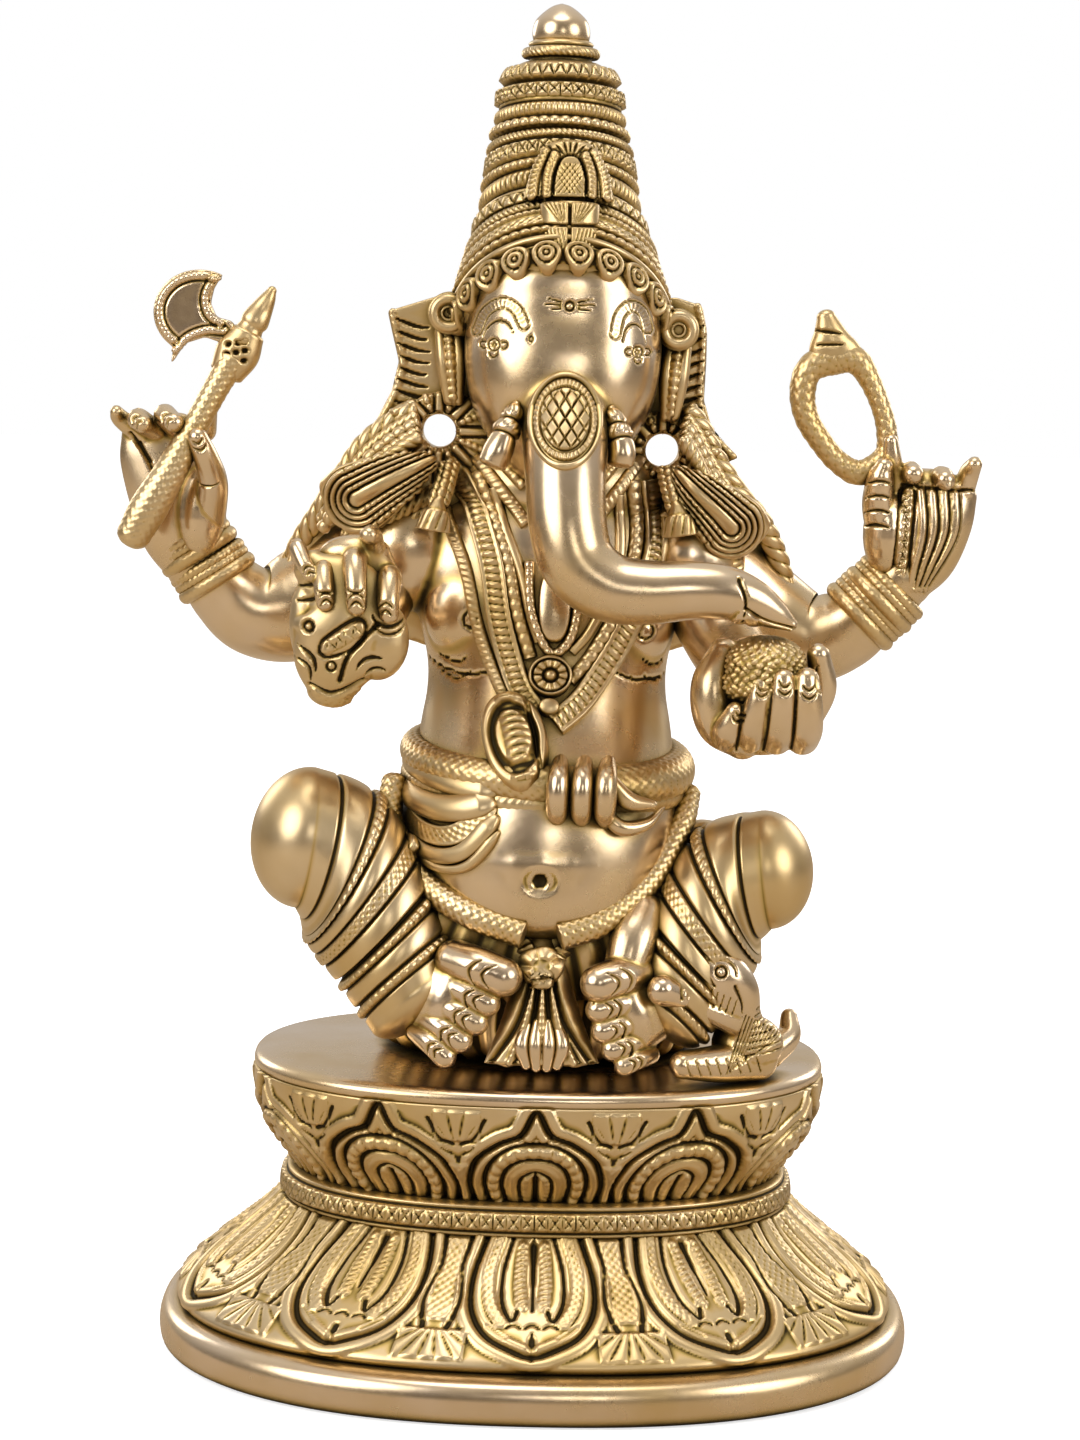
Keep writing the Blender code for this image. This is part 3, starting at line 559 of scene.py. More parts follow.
def patch(ground, middle, half, relief, lift, sink=0.8, step=0.2, tilt=0.0, power=2.0):
    """An oval plate laid on the ground; relief(x, z, r) is read from its middle, r being one at its rim."""
    rings = max(8, round(max(half) / step))
    sides = max(24, round(TURN * max(half) / step))
    r = np.linspace(0.02, 1, rings)[:, None]
    t = np.linspace(0, TURN, sides, endpoint=False)[None]
    c, s = np.cos(t), np.sin(t)
    local_x = half[0] * r * np.sign(c) * np.abs(c) ** (2 / power)
    local_z = half[1] * r * np.sign(s) * np.abs(s) ** (2 / power)
    ct, st = math.cos(math.radians(tilt)), math.sin(math.radians(tilt))
    x = middle[0] + local_x * ct - local_z * st
    z = middle[1] + local_x * st + local_z * ct
    spots, normals = landed(ground, x, z)
    normals = unit(blurred(normals, 2))
    rim = np.sqrt(hump(r * 0.999))
    height = relief(local_x, local_z, r) + lift * np.clip(rim * 2.2, 0, 1)
    top = spots + normals * np.broadcast_to(height, x.shape)[..., None]
    bottom = (spots - normals * sink)[::-1]
    return turned_out(skin(np.concatenate([top, bottom[:1], bottom[-1:]])))


# ---------------------------------------------------------------- finish

def hollowness(shape):
    """How far each point lies under the average of the skin round it, in millimetres."""
    rounds = 8
    points, quads, triangles = shape
    ends = [
        faces[:, [k, (k + 1) % faces.shape[1]]] for faces in (quads, triangles)
        for k in range(faces.shape[1])
    ]
    ends = np.vstack(ends)
    count = np.bincount(ends[:, 0], minlength=len(points)) + np.bincount(ends[:, 1], minlength=len(points))
    count = np.maximum(count, 1)
    flat = points.copy()
    for _ in range(rounds):
        total = np.zeros_like(flat)
        for axis in range(3):
            total[:, axis] = (np.bincount(ends[:, 0], flat[ends[:, 1], axis], len(points))
                              + np.bincount(ends[:, 1], flat[ends[:, 0], axis], len(points)))
        flat = total / count[:, None]
    return np.einsum("ij,ij->i", flat - points, normals_of(shape))


def add_piece(name, shape, slot, *nodes):
    """A finished piece that rides on the idol and stands for the given castings."""
    obj = object_of(name, shape)
    obj.data.shade_smooth()
    recess = obj.data.attributes.new("recess", "FLOAT", "POINT")
    recess.data.foreach_set("value", hollowness(shape).astype(np.float32))
    obj.data.materials.append(materials[slot])
    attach(obj, "root")
    if nodes:
        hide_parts(*nodes)


def add_casting(name, shape, slot):
    """A piece that stands for the casting of the same name."""
    add_piece(name, shape, slot, name)


def new_node(tree, kind, values=(), operation=None):
    """A node of a tree with its inputs' values, given by the input's name or number."""
    node = tree.nodes.new("ShaderNode" + kind)
    if operation:
        node.operation = operation
    for key, value in dict(values).items():
        node.inputs[key].default_value = value
    return node


def link(tree, *pairs):
    """Links pairs of sockets in a node tree, each given as its node and its name or number."""
    for source, out, target, into in pairs:
        tree.links.new(source.outputs[out], target.inputs[into])


def fill_ramp(ramp, stops):
    """Sets a colour ramp's stops, each given as its place and colour."""
    elements = ramp.color_ramp.elements
    while len(elements) < len(stops):
        elements.new(0.5)
    for element, (position, colour) in zip(elements, stops):
        element.position = position
        element.color = colour


def make_brass(name, polish, patina, clean):
    """Brass with old dark patina in its hollows, painted shade from ambient occlusion in its crevices and
    where pieces meet, and a hand-brushed shine on its high places.
    """
    material = bpy.data.materials.new(name)
    material.use_nodes = True
    tree = material.node_tree
    shader = tree.nodes["Principled BSDF"]
    shader.inputs["Metallic"].default_value = 1.0
    place = new_node(tree, "NewGeometry")
    recess = new_node(tree, "Attribute")
    recess.attribute_name = "recess"
    depth = new_node(tree, "MapRange", {"From Min": -0.01, "From Max": 0.17})
    # Ambient occlusion read into the colour: painted shade in crevices and where separate pieces meet
    crevice = new_node(tree, "AmbientOcclusion", {"Distance": 3.0 * MM})
    crevice.samples = 6
    shade = new_node(tree, "MapRange", {"From Min": 0.80, "From Max": 0.22})
    grain = new_node(tree, "TexNoise", {"Scale": 700.0, "Detail": 5.0})
    cloud = new_node(tree, "TexNoise", {"Scale": 60.0, "Detail": 3.0})
    spread = new_node(tree, "Math", {1: 0.55, 2: patina - 0.25}, "MULTIPLY_ADD")
    # The darker of the patina in the hollows and the painted occlusion shade
    patina_and_painted_shade = new_node(tree, "Math", operation="MAXIMUM")
    total = new_node(tree, "Math", operation="ADD")
    total.use_clamp = True
    ramp = new_node(tree, "ValToRGB")
    fill_ramp(ramp, [(0.0, (*clean, 1))] + PATINA_AND_SHADE_STOPS)
    rough = new_node(tree, "MapRange", {"To Min": polish, "To Max": PATINA_ROUGHNESS})
    uneven = new_node(tree, "Math", {1: 0.10}, "MULTIPLY_ADD")
    bump = new_node(tree, "Bump", {"Strength": 0.10, "Distance": 0.10 * MM})
    link(
        tree,
        (place, "Position", grain, "Vector"),
        (place, "Position", cloud, "Vector"),
        (recess, "Fac", depth, "Value"),
        (crevice, "AO", shade, "Value"),
        (depth, "Result", patina_and_painted_shade, 0),
        (shade, "Result", patina_and_painted_shade, 1),
        (patina_and_painted_shade, "Value", total, 0),
        (cloud, "Fac", spread, 0),
        (spread, "Value", total, 1),
        (total, "Value", ramp, "Fac"),
        (ramp, "Color", shader, "Base Color"),
        (total, "Value", rough, "Value"),
        (grain, "Fac", uneven, 0),
        (rough, "Result", uneven, 2),
        (uneven, "Value", shader, "Roughness"),
        (grain, "Fac", bump, "Height"),
        (bump, "Normal", shader, "Normal"),
    )
    materials[name] = material


# ---------------------------------------------------------------- pedestal

def petal_field(share, t, width):
    """Positions on the nearest petal: across it in millimetres from its middle, and up its length."""
    across = ((share * PETALS + 0.5) % 1 - 0.5) * width
    return np.broadcast_arrays(across, t)


def hanging_petals(u, t, z, share):
    """Relief of the lower tier: hanging petals with scaled borders, and a fan and scales between them."""
    length = t.max()
    x, y = petal_field(share, length - t, LOWER_PETAL_WIDTH)
    shape = x.shape
    x, y = x.ravel(), y.ravel()
    outline = [
        (-8.2, -1), (-9.6, 6), (-9.0, 12), (-6.4, 16.6), (-2.4, 19.2), (0, 20), (2.4, 19.2), (6.4, 16.6),
        (9.0, 12), (9.6, 6), (8.2, -1)
    ]
    border = [(-5.6, -1), (-7.0, 5.5), (-6.4, 11), (-4.4, 14.6)]
    hook = [(-3.4, -1), (-4.8, 5), (-4.6, 10.6), (-3.0, 14.0), (-2.2, 12.4)]
    strokes = [
        (outline, rows((0, groove(0.5, 0.8)), (-1.4, ridge(0.9, 0.45)), (1.2, ridge(0.6, 0.25))), 3),
        ([(0, 17.2), (0, 20)], groove(0.6, 0.5)),
    ]
    for way in (-1, 1):
        flip = np.array([way, 1])
        strokes += [
            (np.array(border) * flip, scales(1.05, 0.5, 1.15), 2),
            (np.array(hook) * flip, groove(0.38, 0.7)),
            (np.array([(-1.9, 1.5), (-2.1, 7), (-1.6, 11.6)]) * flip, ribs(1.0, 0.45, 0.95, 0.35), 2),
            (np.array([(-6.2, 15.2), (-3.6, 17.2)]) * flip, groove(0.3, 0.3)),
            (np.array([(-11.0, -1), (-11.6, 5), (-10.8, 11), (-11.8, 15.6)]) * flip, groove(0.5, 0.6)),
        ]
    strokes.append(([(0, 1.2), (0, 11.4)], wedge(0.75, 0.9)))
    for k in range(3):
        strokes.append((arc((-2.6 + 2.6 * k, 15.6), (1.0, 0.8), 200, 340, 7), groove(0.25, 0.3)))
    height = drawn(x, y, strokes)
    far = LOWER_PETAL_WIDTH / 2 - np.abs(x)
    stack = scales(2.4, 0.4, 1.35)(far, y, 1) * (y < 14.6) * (y > 0.6)
    fan_turn = np.arctan2(far, np.clip(y - 14.6, 0.01, None))
    fan = 0.35 * np.sqrt(np.abs(np.cos(9 * fan_turn))) * ((y > 16.2) & (y < 21) & (far < 4.6))
    return (height + stack + fan).reshape(shape)


def standing_petals(u, t, z, share):
    """Relief of the upper tier: ogee petals with beaded arches, and hatched fans between their tips."""
    x, y = petal_field(share, t, UPPER_PETAL_WIDTH)
    shape = x.shape
    x, y = x.ravel(), y.ravel()
    top = y.max()
    rim = [
        (-10.4, -1), (-10.8, 4), (-9.2, 8.6), (-5.6, 11.6), (-2.2, 13.2), (0, top - 0.6), (2.2, 13.2),
        (5.6, 11.6), (9.2, 8.6), (10.8, 4), (10.4, -1)
    ]
    arch = [
        (-6.2, -1), (-7.0, 3.6), (-5.8, 7.6), (-3.2, 9.8), (0, 10.4), (3.2, 9.8), (5.8, 7.6), (7.0, 3.6),
        (6.2, -1)
    ]
    inner = [(-3.2, -1), (-3.8, 3), (-3.0, 6), (0, 7.6), (3.0, 6), (3.8, 3), (3.2, -1)]
    strokes = [
        (rim, rows((0, groove(0.55, 0.95)), (-1.35, ridge(0.85, 0.5)), (1.2, ridge(0.6, 0.3))), 3),
        (arch, rows((0, beads(0.95, 0.6)), (-1.4, groove(0.42, 0.8)), (1.4, groove(0.42, 0.8))), 3),
        (inner, rows((0, ridge(0.6, 0.2)), (1.1, groove(0.4, 0.5))), 2),
        ([(0, -0.5), (0, 5.4)], groove(0.6, 0.95)),
        (arc((0, 13.4), (2.6, 1.6), 200, 340, 9), groove(0.35, 0.5)),
        circle((0, 12.2), 0.5, groove(0.2, 0.25), 9),
    ]
    for way in (-1, 1):
        flip = np.array([way, 1])
        strokes += [
            (np.array([(-1.7, 0), (-1.9, 3), (-1.5, 5.2)]) * flip, ribs(0.85, 0.3, 0.85, 0.35)),
            (np.array([(-11.2, 11.4), (-9.2, 12.6), (-7.6, 15.4)]) * flip, groove(0.4, 0.5)),
            (np.array([(-11.2, 9.6), (-10.0, 10.4), (-9.2, 11.2)]) * flip, lens(0.35, 0.4)),
        ]
    height = drawn(x, y, strokes)
    far = UPPER_PETAL_WIDTH / 2 - np.abs(x)
    fan_turn = np.arctan2(far, np.clip(y - 10.2, 0.01, None))
    height += 0.35 * np.sqrt(np.abs(np.cos(8 * fan_turn))) * ((y > 12.2) & (y < top - 0.8) & (far < 3.4))
    return (height + scales(1.7, 0.4, 1.15)(far, y, 1) * ((y > 1) & (y < 8.2))).reshape(shape)


def lattice(u, t, z, share):
    """Relief of the waist ring: crossed ribs between two grooves."""
    edges = hump((z - 23.0) / 0.25) + hump((z - 26.3) / 0.25)
    return crosses(1.35, 0.5, 2.0)(z - 24.7, u, 1) - 0.4 * edges


# Each tier from the floor up: levels of z, half width and half depth, mesh pitch, wall, relief and finish
TIERS = {
    "base_plinth": ([
        (0, 56.0, 44.6), (0.8, 57.1, 45.7), (2.6, 57.5, 46.0), (4.6, 57.3, 45.8), (6.0, 56.4, 44.9),
        (6.6, 54.6, 43.0)
    ], 0.5, 9, None, POLISHED),
    "lower_lotus": ([
        (6.7, 54.6, 41.6), (7.9, 54.9, 41.9), (10, 53.0, 40.0), (13, 49.6, 36.6), (16.5, 45.2, 32.2),
        (20, 41.2, 28.2), (22.4, 39.0, 26.0)
    ], 0.3, 6, hanging_petals, CHASED),
    "bead_ring": ([
        (22.0, 37.6, 25.4), (22.6, 38.7, 26.3), (24.6, 38.9, 26.4), (26.6, 38.3, 25.9), (27.3, 37.0, 24.8)
    ], 0.24, 4, lattice, CHASED),
    "upper_lotus": ([
        (27.0, 36.8, 24.2), (29, 38.0, 25.2), (32, 40.2, 27.0), (36, 42.4, 28.8), (40, 43.4, 29.6),
        (42.6, 43.5, 29.7)
    ], 0.27, 4.6, standing_petals, CHASED),
    "seat_plate": ([
        (42.2, 42.9, 29.2), (43.2, 43.5, 29.7), (44.2, 43.3, 29.5), (44.8, 42.2, 28.6), (45.0, 40.4, 27.0)
    ], 0.4, 0, None, POLISHED)
}


def make_pedestal():
    """A plain rounded plinth, two carved lotus walls with a lattice ring between them, and the seat."""
    for name, (profile, pitch, thickness, relief, slot) in TIERS.items():
        levels = [(z, 0, 0, wide, deep, 0) for z, wide, deep in profile]
        add_casting(name, wall(levels, pitch, PLAN_POWER, relief, thickness), slot)


# ---------------------------------------------------------------- crown

def level_bands(*bands):
    """Relief of bands round a turned piece, each given as its level and its pattern."""
    return lambda u, t, z, share: sum(pattern(z - level, u, 1) for level, pattern in bands)


SWIRL_PITCH = 4.2
SWIRL_LEVEL = 152.2
SWIRL_RADIUS = 1.78


def brim_swirls(u, t, z, share):
    """Relief of a row of ringed bosses along the brim's lower edge."""
    x = ((u / SWIRL_PITCH) % 1 - 0.5) * SWIRL_PITCH
    rise = z - SWIRL_LEVEL
    away = np.hypot(x * 0.88, rise)
    rings = 0.9 * np.sqrt(np.abs(np.cos(away * 4.4))) * (away < SWIRL_RADIUS)
    return rings - 0.3 * (away > SWIRL_RADIUS) * (np.abs(rise) < 1.5)


BRIM_LEVELS = [
    (150.6, 1, -1.6, 15.2, 15.6, 0.85), (151.1, 1, -1.5, 16.4, 16.9, 0.85),
    (153.3, 0.9, -1.2, 16.9, 17.2, 0.84), (156.4, 0.9, -0.9, 16.2, 16.4, 0.79),
    (159.4, 0.8, -0.6, 15.5, 15.8, 0.73), (162.7, 0.7, -0.2, 14.6, 14.9, 0.65),
    (165.8, 0.7, 0, 13.6, 13.8, 0.57), (168.0, 0.6, 0.2, 12.2, 12.2, 0.50)
]
BRIM_BANDS = [
    (154.1, groove(0.35, 0.8)), (155.3, ridge(0.8, 0.45)), (156.5, groove(0.18, 0.35)),
    (157.6, beads(0.8, 0.75)), (158.7, groove(0.2, 0.35)), (160.2, scales(1.2, 0.8, 1.35)),
    (161.8, groove(0.2, 0.35)), (163.0, beads(0.65, 0.6)), (163.9, groove(0.2, 0.35)),
    (165.1, ribs(1.0, 0.7, 0.95, 0.5)), (166.4, groove(0.35, 0.6)), (167.4, ridge(0.6, 0.3))
]
# Each tier: its mesh pitch, its levels as wall() takes them, and its bands
CROWN_TIERS = {
    "crown_lower_tier": (
        0.2,
        [
            (167.2, 0.6, 0.3, 11.8, 12.0, 0.5), (168.1, 0.6, 0.4, 12.6, 12.8, 0.48),
            (170.8, 0.4, 0.9, 12.2, 12.4, 0.42), (171.6, 0.4, 1.0, 11.6, 11.9, 0.41),
            (175.8, 0.3, 1.6, 11.2, 11.5, 0.36), (178.1, 0.3, 2.0, 10.9, 11.1, 0.32),
            (181.0, 0.2, 2.3, 10.4, 10.6, 0.26), (182.2, 0.2, 2.4, 9.4, 9.6, 0.24)
        ],
        [
            (168.9, zigzag(1.0, 0.8, 1.8)), (170.2, groove(0.18, 0.35)), (171.2, groove(0.25, 0.5)),
            (172.9, ribs(1.25, 0.75, 1.0)), (174.5, groove(0.2, 0.4)), (175.5, beads(0.7, 0.7)),
            (176.5, groove(0.2, 0.4)), (178.3, crosses(1.3, 0.6, 1.7)), (180.0, groove(0.25, 0.45)),
            (180.9, ribs(0.7, 0.65, 0.85, 0.7))
        ]
    ),
    "crown_upper_tier": (
        0.2,
        [
            (182.0, 0.1, 2.4, 9.0, 9.2, 0.22), (182.9, 0.1, 2.5, 10.0, 10.2, 0.21),
            (184.6, 0.1, 2.7, 9.4, 9.6, 0.19), (187, 0.1, 3, 9.2, 9.4, 0.16),
            (190.2, 0, 3.6, 8.9, 9.1, 0.12), (191.1, 0, 3.6, 8.5, 8.7, 0.1), (192.5, 0, 3.7, 7.8, 8.0, 0.08),
            (193.9, 0, 3.8, 6.2, 6.2, 0.06), (194.5, 0, 3.8, 4.4, 4.4, 0.05)
        ],
        [
            (183.4, beads(0.7, 0.7)), (184.4, groove(0.2, 0.4)), (185.7, ribs(0.95, 0.65, 0.75)),
            (186.9, groove(0.2, 0.4)), (188.7, crosses(1.05, 0.75, 1.6)), (190.5, groove(0.4, 0.9)),
            (191.9, zigzag(1.0, 0.8, 1.7)), (193.3, groove(0.18, 0.35))
        ]
    ),
    "crown_collar": (
        0.16,
        [
            (193.8, 0, 3.9, 4.4, 4.4, 0.04), (194.6, 0, 3.9, 5.0, 5.0, 0.04), (195.4, 0, 4, 5.5, 5.5, 0.04),
            (196.4, 0, 4, 5.2, 5.2, 0.04), (197.3, 0, 4, 4.6, 4.6, 0.04), (197.8, 0, 4, 3.4, 3.4, 0.04)
        ],
        [(194.6, groove(0.25, 0.4)), (195.6, ribs(0.75, 0.4, 0.8, 0.9)), (196.7, groove(0.22, 0.4))]
    )
}
FINIAL_LEVELS = [
    (197.0, 0, 4, 3.6, 3.6, 0), (197.7, 0, 4, 4.2, 4.2, 0), (199.0, 0, 4, 4.3, 4.3, 0),
    (200.4, 0, 4, 3.9, 3.9, 0), (201.6, 0, 4, 2.8, 2.8, 0), (202.6, 0, 4, 1.4, 1.4, 0),
    (203.0, 0, 4, 0.2, 0.2, 0)
]


def make_crown():
    """A brim of ringed bosses and bands, two tiers of chased bands, a ribbed collar and a plain finial."""
    bands = level_bands(*BRIM_BANDS)
    brim = wall(
        BRIM_LEVELS, 0.2, 2.0, lambda u, t, z, share: brim_swirls(u, t, z, share) + bands(u, t, z, share)
    )
    add_casting("crown_brim", brim, CHASED)
    for name, (pitch, levels, tier_bands) in CROWN_TIERS.items():
        add_casting(name, wall(levels, pitch, 2.0, level_bands(*tier_bands)), CHASED)
    add_casting("crown_finial", wall(FINIAL_LEVELS, 0.2), POLISHED)


# ---------------------------------------------------------------- body and dress

def prism(outline, front, back, bend=0.0):
    """A plate between two depths with an outline in the XZ plane, bent in Y by bend times x squared."""
    line = np.asarray(outline, float)
    edge = np.vstack([line, line[:1]])
    edge = evenly(edge, 0.6, 2)[1][:-1]
    middle = edge.mean(axis=0)
    rings = []
    for y, scale in ((front, 0.02), (front, 1.0), (back, 1.0), (back, 0.02)):
        x, z = (middle + (edge - middle) * scale).T
        rings.append(np.stack([x, y + bend * x * x, z], axis=1))
    return turned_out(skin(np.array(rings)))


TORSO = [
    (63.0, 0, -4, 12, 12, 0), (66.4, 0, -5.5, 17, 17, 0), (70, 0, -6, 19.4, 19.4, 0),
    (77, 0, -6, 21, 19.6, 0), (84, 0, -5.6, 20.6, 18.8, 0), (90, 0, -4.6, 19.6, 17, 0),
    (96, 0, -3.2, 18.8, 14.6, 0), (101, 0, -2.4, 18.0, 13.2, 0), (106, 0, -2, 18.2, 12.3, 0),
    (113, 0, -1.5, 20, 12, 0), (120, 0, -0.5, 22, 11.6, 0), (126, 0, 0, 20, 10.5, 0),
    (130.5, 0, 0, 13, 8.4, 0), (134, 0.4, -1, 8, 7, 0)
]
# x, y, z, half height, half depth, and the way the section faces
SHINS = {
    "right": [
        (-35.4, -12, 78.9, 10.6, 9.9, 0.95, 0.18, -0.14),
        (-32.4, -12.5, 77.0, 11.5, 10.5, 0.92, 0.26, -0.27),
        (-29.6, -13.2, 74.6, 12.0, 10.9, 0.86, 0.18, -0.46),
        (-26.4, -14.4, 70.6, 11.3, 10.5, 0.79, 0.06, -0.60), (-23.6, -15.8, 66.4, 10.3, 9.8, 0.74, 0, -0.67),
        (-20.8, -17.8, 61.4, 9.1, 8.8, 0.68, -0.15, -0.72),
        (-18.4, -19.6, 56.4, 8.0, 7.6, 0.66, -0.25, -0.72)
    ],
    "left": [
        (33.4, -12, 75.6, 8.9, 8.5, -0.95, 0.14, -0.12), (30.6, -12.5, 74.3, 9.6, 9.2, -0.94, 0.20, -0.20),
        (28.2, -13.2, 72.4, 10.4, 9.8, -0.88, 0.12, -0.44),
        (25.4, -14.6, 68.6, 10.2, 9.8, -0.80, 0.04, -0.60), (23.0, -15.8, 64.8, 9.5, 9.3, -0.75, 0, -0.66),
        (20.8, -17.8, 60.2, 8.6, 8.4, -0.68, -0.15, -0.72), (18.8, -19.4, 55.4, 7.3, 7, -0.64, -0.25, -0.73)
    ]
}
THIGHS = {
    "right": [
        (-7, 3, 58, 11, 11), (-18, 1, 66, 12, 11.4), (-26, -5, 73.4, 11, 10.4), (-30.6, -9.5, 77.4, 9.4, 9)
    ],
    "left": [
        (7, 3, 58, 11, 11), (18, 1, 65, 12, 11.4), (26, -5, 71.4, 10.6, 10.2), (30.6, -9.5, 75, 8.6, 8.6)
    ]
}
# From the big toe down: tip x and z, root x and z, radius
TOES = {
    "right": [(-5.4, 61.4, -12.4, 63.2, 2.9), (-7.6, 57.5, -13.6, 59.8, 2.0), (-9.2, 54.6, -15, 57.1, 1.95),
              (-11.4, 51.8, -16.4, 54.6, 1.85), (-13.6, 49.4, -17.4, 52.2, 1.75)],
    "left": [(8.6, 60.8, 13.6, 61.8, 2.8), (8.6, 56.9, 13.9, 57.8, 1.95), (9.4, 53.8, 14.2, 54.6, 1.9),
             (10.8, 51.0, 14.8, 51.8, 1.75), (12.6, 48.7, 15.8, 49.6, 1.6)],
}
ANKLES = {
    "right": [(-17.6, -19.6, 58.2, 6.4, 5.4), (-13.4, -23.2, 57, 6.6, 4.0)],
    "left": [(17.0, -19.6, 57.2, 5.8, 5.2), (13.4, -23.4, 56, 6.4, 3.8)],
}


def make_lap():
    """The hips and the crossed lap under pleated cloth."""
    saddle = sweep(
        [
            (-24, -10, 73, 5.5, 6), (-12, -14.6, 66.4, 7.6, 6.4), (0, -16.4, 63, 8, 6),
            (12, -14.6, 66, 7.6, 6.4), (24, -10, 71.6, 5.5, 6)
        ],
        0.4, 120, lambda s, around, turn: 0.4 * np.cos(s * 1.5), (0, 1, 0)
    )
    lap = wall(
        [
            (45.2, 0, 2.5, 20, 14, 0), (47, 0, 2.5, 24, 17, 0), (52, 0, 2.4, 25.4, 18, 0),
            (58, 0, 2, 25, 17.6, 0), (63, 0, 1, 22, 16.4, 0), (66.6, 0, 0, 18, 14, 0)
        ],
        0.5, relief=lambda u, t, z, share: 0.5 * np.sin(u * 1.6 + 0.5 * np.sin(z * 0.4))
    )
    lap = joined([lap, saddle])
    add_casting("lap_and_hips", lap, CHASED)
    return lap


def make_torso():
    """Chest and belly, with the nipples, navel, creases and spine cut in."""
    shapes = [
        wall(TORSO, 1.0), blob((-9.8, -6.6, 112.6), (8.8, 5.4, 8.0)),
        blob((10.2, -6.4, 112.0), (8.8, 5.4, 8.0)), blob((0, -8.6, 76.5), (18.4, 17.4, 12.6)),
        blob((-21.5, -0.6, 121.5), (8.6, 8.6, 9.6)), blob((21.0, -0.6, 120.8), (8.6, 8.6, 9.6)),
        blob((0, 8, 118), (19, 6, 12)), blob((1.2, -1.5, 131), (15.5, 8.5, 8.5))
    ]
    body = fused(shapes, 0.42, 14)
    marks = [circle((-11.4, 112.0), 1.2, groove(0.35, 0.45)),
             circle((14.6, 110.8), 1.2, groove(0.35, 0.45)),
             (arc((-12.0, 112), (9.4, 8.0), 225, 318), lens(0.3, 0.35), 2),
             (arc((15.0, 111), (8.0, 7.6), 215, 300), lens(0.3, 0.35), 2),
             (arc((-0.3, 75.4), (2.1, 1.5), 0, 360), groove(0.7, 0.35), 2),
             (arc((-0.3, 75.4), (0.55, 0.4), 0, 360, 7), groove(0.9, 1.5), 2),
             ([(-16.4, 106.6), (-13.4, 105.6), (-11.4, 106.8)], lens(0.25, 0.3)),
             ([(-16.6, 104.4), (-13.4, 103.2), (-11.0, 104.6)], lens(0.25, 0.3)),
             ([(14.0, 106.6), (16.0, 105.4), (17.6, 106.4)], lens(0.25, 0.3)),
             ([(14.2, 104.2), (16.2, 103.2), (17.6, 104.0)], lens(0.25, 0.3))]
    spine = [
        ([(0, 124), (0.2, 110), (0, 96)], groove(2.2, 0.9), 3),
        (arc((-9, 116), (7, 8), 190, 300), groove(1.6, 0.4), 2),
        (arc((9, 116), (7, 8), 240, 350), groove(1.6, 0.4), 2)
    ]
    body = carved(carved(body, marks), spine, facing=1)
    add_casting("torso", body, POLISHED)
    return body


def leg_bands():
    """The dhoti's bands round a leg, from the bare knee to the ankle."""
    return banded(
        (2.6, groove(0.3, 0.6)), (4.4, ridge(1.5, 0.25)), (6.2, groove(0.25, 0.5)), (7.2, beads(0.8, 0.6)),
        (8.2, groove(0.3, 0.6)), (10.0, ridge(1.4, 0.25)), (11.8, groove(0.3, 0.6)),
        (13.3, scales(1.35, 0.6, 1.3)), (14.8, groove(0.3, 0.6)), (16.8, ridge(1.7, 0.25)),
        (18.8, groove(0.5, 0.9)), (20.1, beads(0.8, 0.6)), (21.3, groove(0.25, 0.5)),
        (23.2, ridge(1.6, 0.25)), (25.0, groove(0.3, 0.6)), (26.1, beads(0.75, 0.5)),
        (27.2, groove(0.3, 0.5))
    )


def toe_marks(tip, root, radius):
    """A nail and a knuckle crease on a toe or finger, seen from the front."""
    tip, root = np.asarray(tip, float), np.asarray(root, float)
    back = unit(root - tip)
    side = np.array([back[1], -back[0]])
    marks = []
    for reach, width in ((0.55, 0.62), (1.25, 0.72)):
        middle = tip + back * radius * reach
        bow = [
            middle + side * radius * width * u + back * radius * 0.55 * (1 - u * u)
            for u in (-1, -0.6, 0, 0.6, 1)
        ]
        marks.append((np.array(bow), lens(0.34, 0.42)))
    return marks


def thigh_folds(s, around, turn):
    """Relief of the cloth drawn slantwise round the thigh."""
    return 0.35 * np.sin(around * 1.15 + 0.25 * s)


def make_legs():
    """Bare knees above banded dhoti legs, with the thighs' cloth behind them. Gives the legs' shapes."""
    shins = {}
    for side, _ in SIDES:
        shins[side] = sweep(SHINS[side], 0.2, 260, leg_bands(), ends=(0.82, 0.5))
        add_casting(side + "_leg", shins[side], CHASED)
        add_piece(side + "_thigh_cloth", sweep(THIGHS[side], 0.5, 120, thigh_folds, ends=(0.6, 0.9)), CHASED)
    return shins


def make_feet():
    """Two feet side on to the front, with five toes each, and the left shin's bare end above its foot."""
    for side, _ in SIDES:
        shapes, marks = [sweep(ANKLES[side], 0.5, 40)], []
        for x, z, root_x, root_z, r in TOES[side]:
            shapes.append(sweep([
                (root_x, -23.0, root_z, r, r + 0.6),
                (0.5 * (x + root_x), -25.6, 0.5 * (z + root_z) + 0.3, r, r + 0.4), (x, -26.6, z, r, r)
            ], 0.4, 28))
            marks += toe_marks((x, z), (root_x, root_z), r)
        if side == "left":
            shapes.append(sweep([
                (15, -19, 70, 3.4, 3), (13.6, -22.2, 66.6, 3.6, 3), (12.4, -24, 62.4, 3.2, 2.8)
            ], 0.5, 24))
        add_casting(side + "_foot", carved(fused(shapes, FINE_VOXEL, 2), marks), POLISHED)


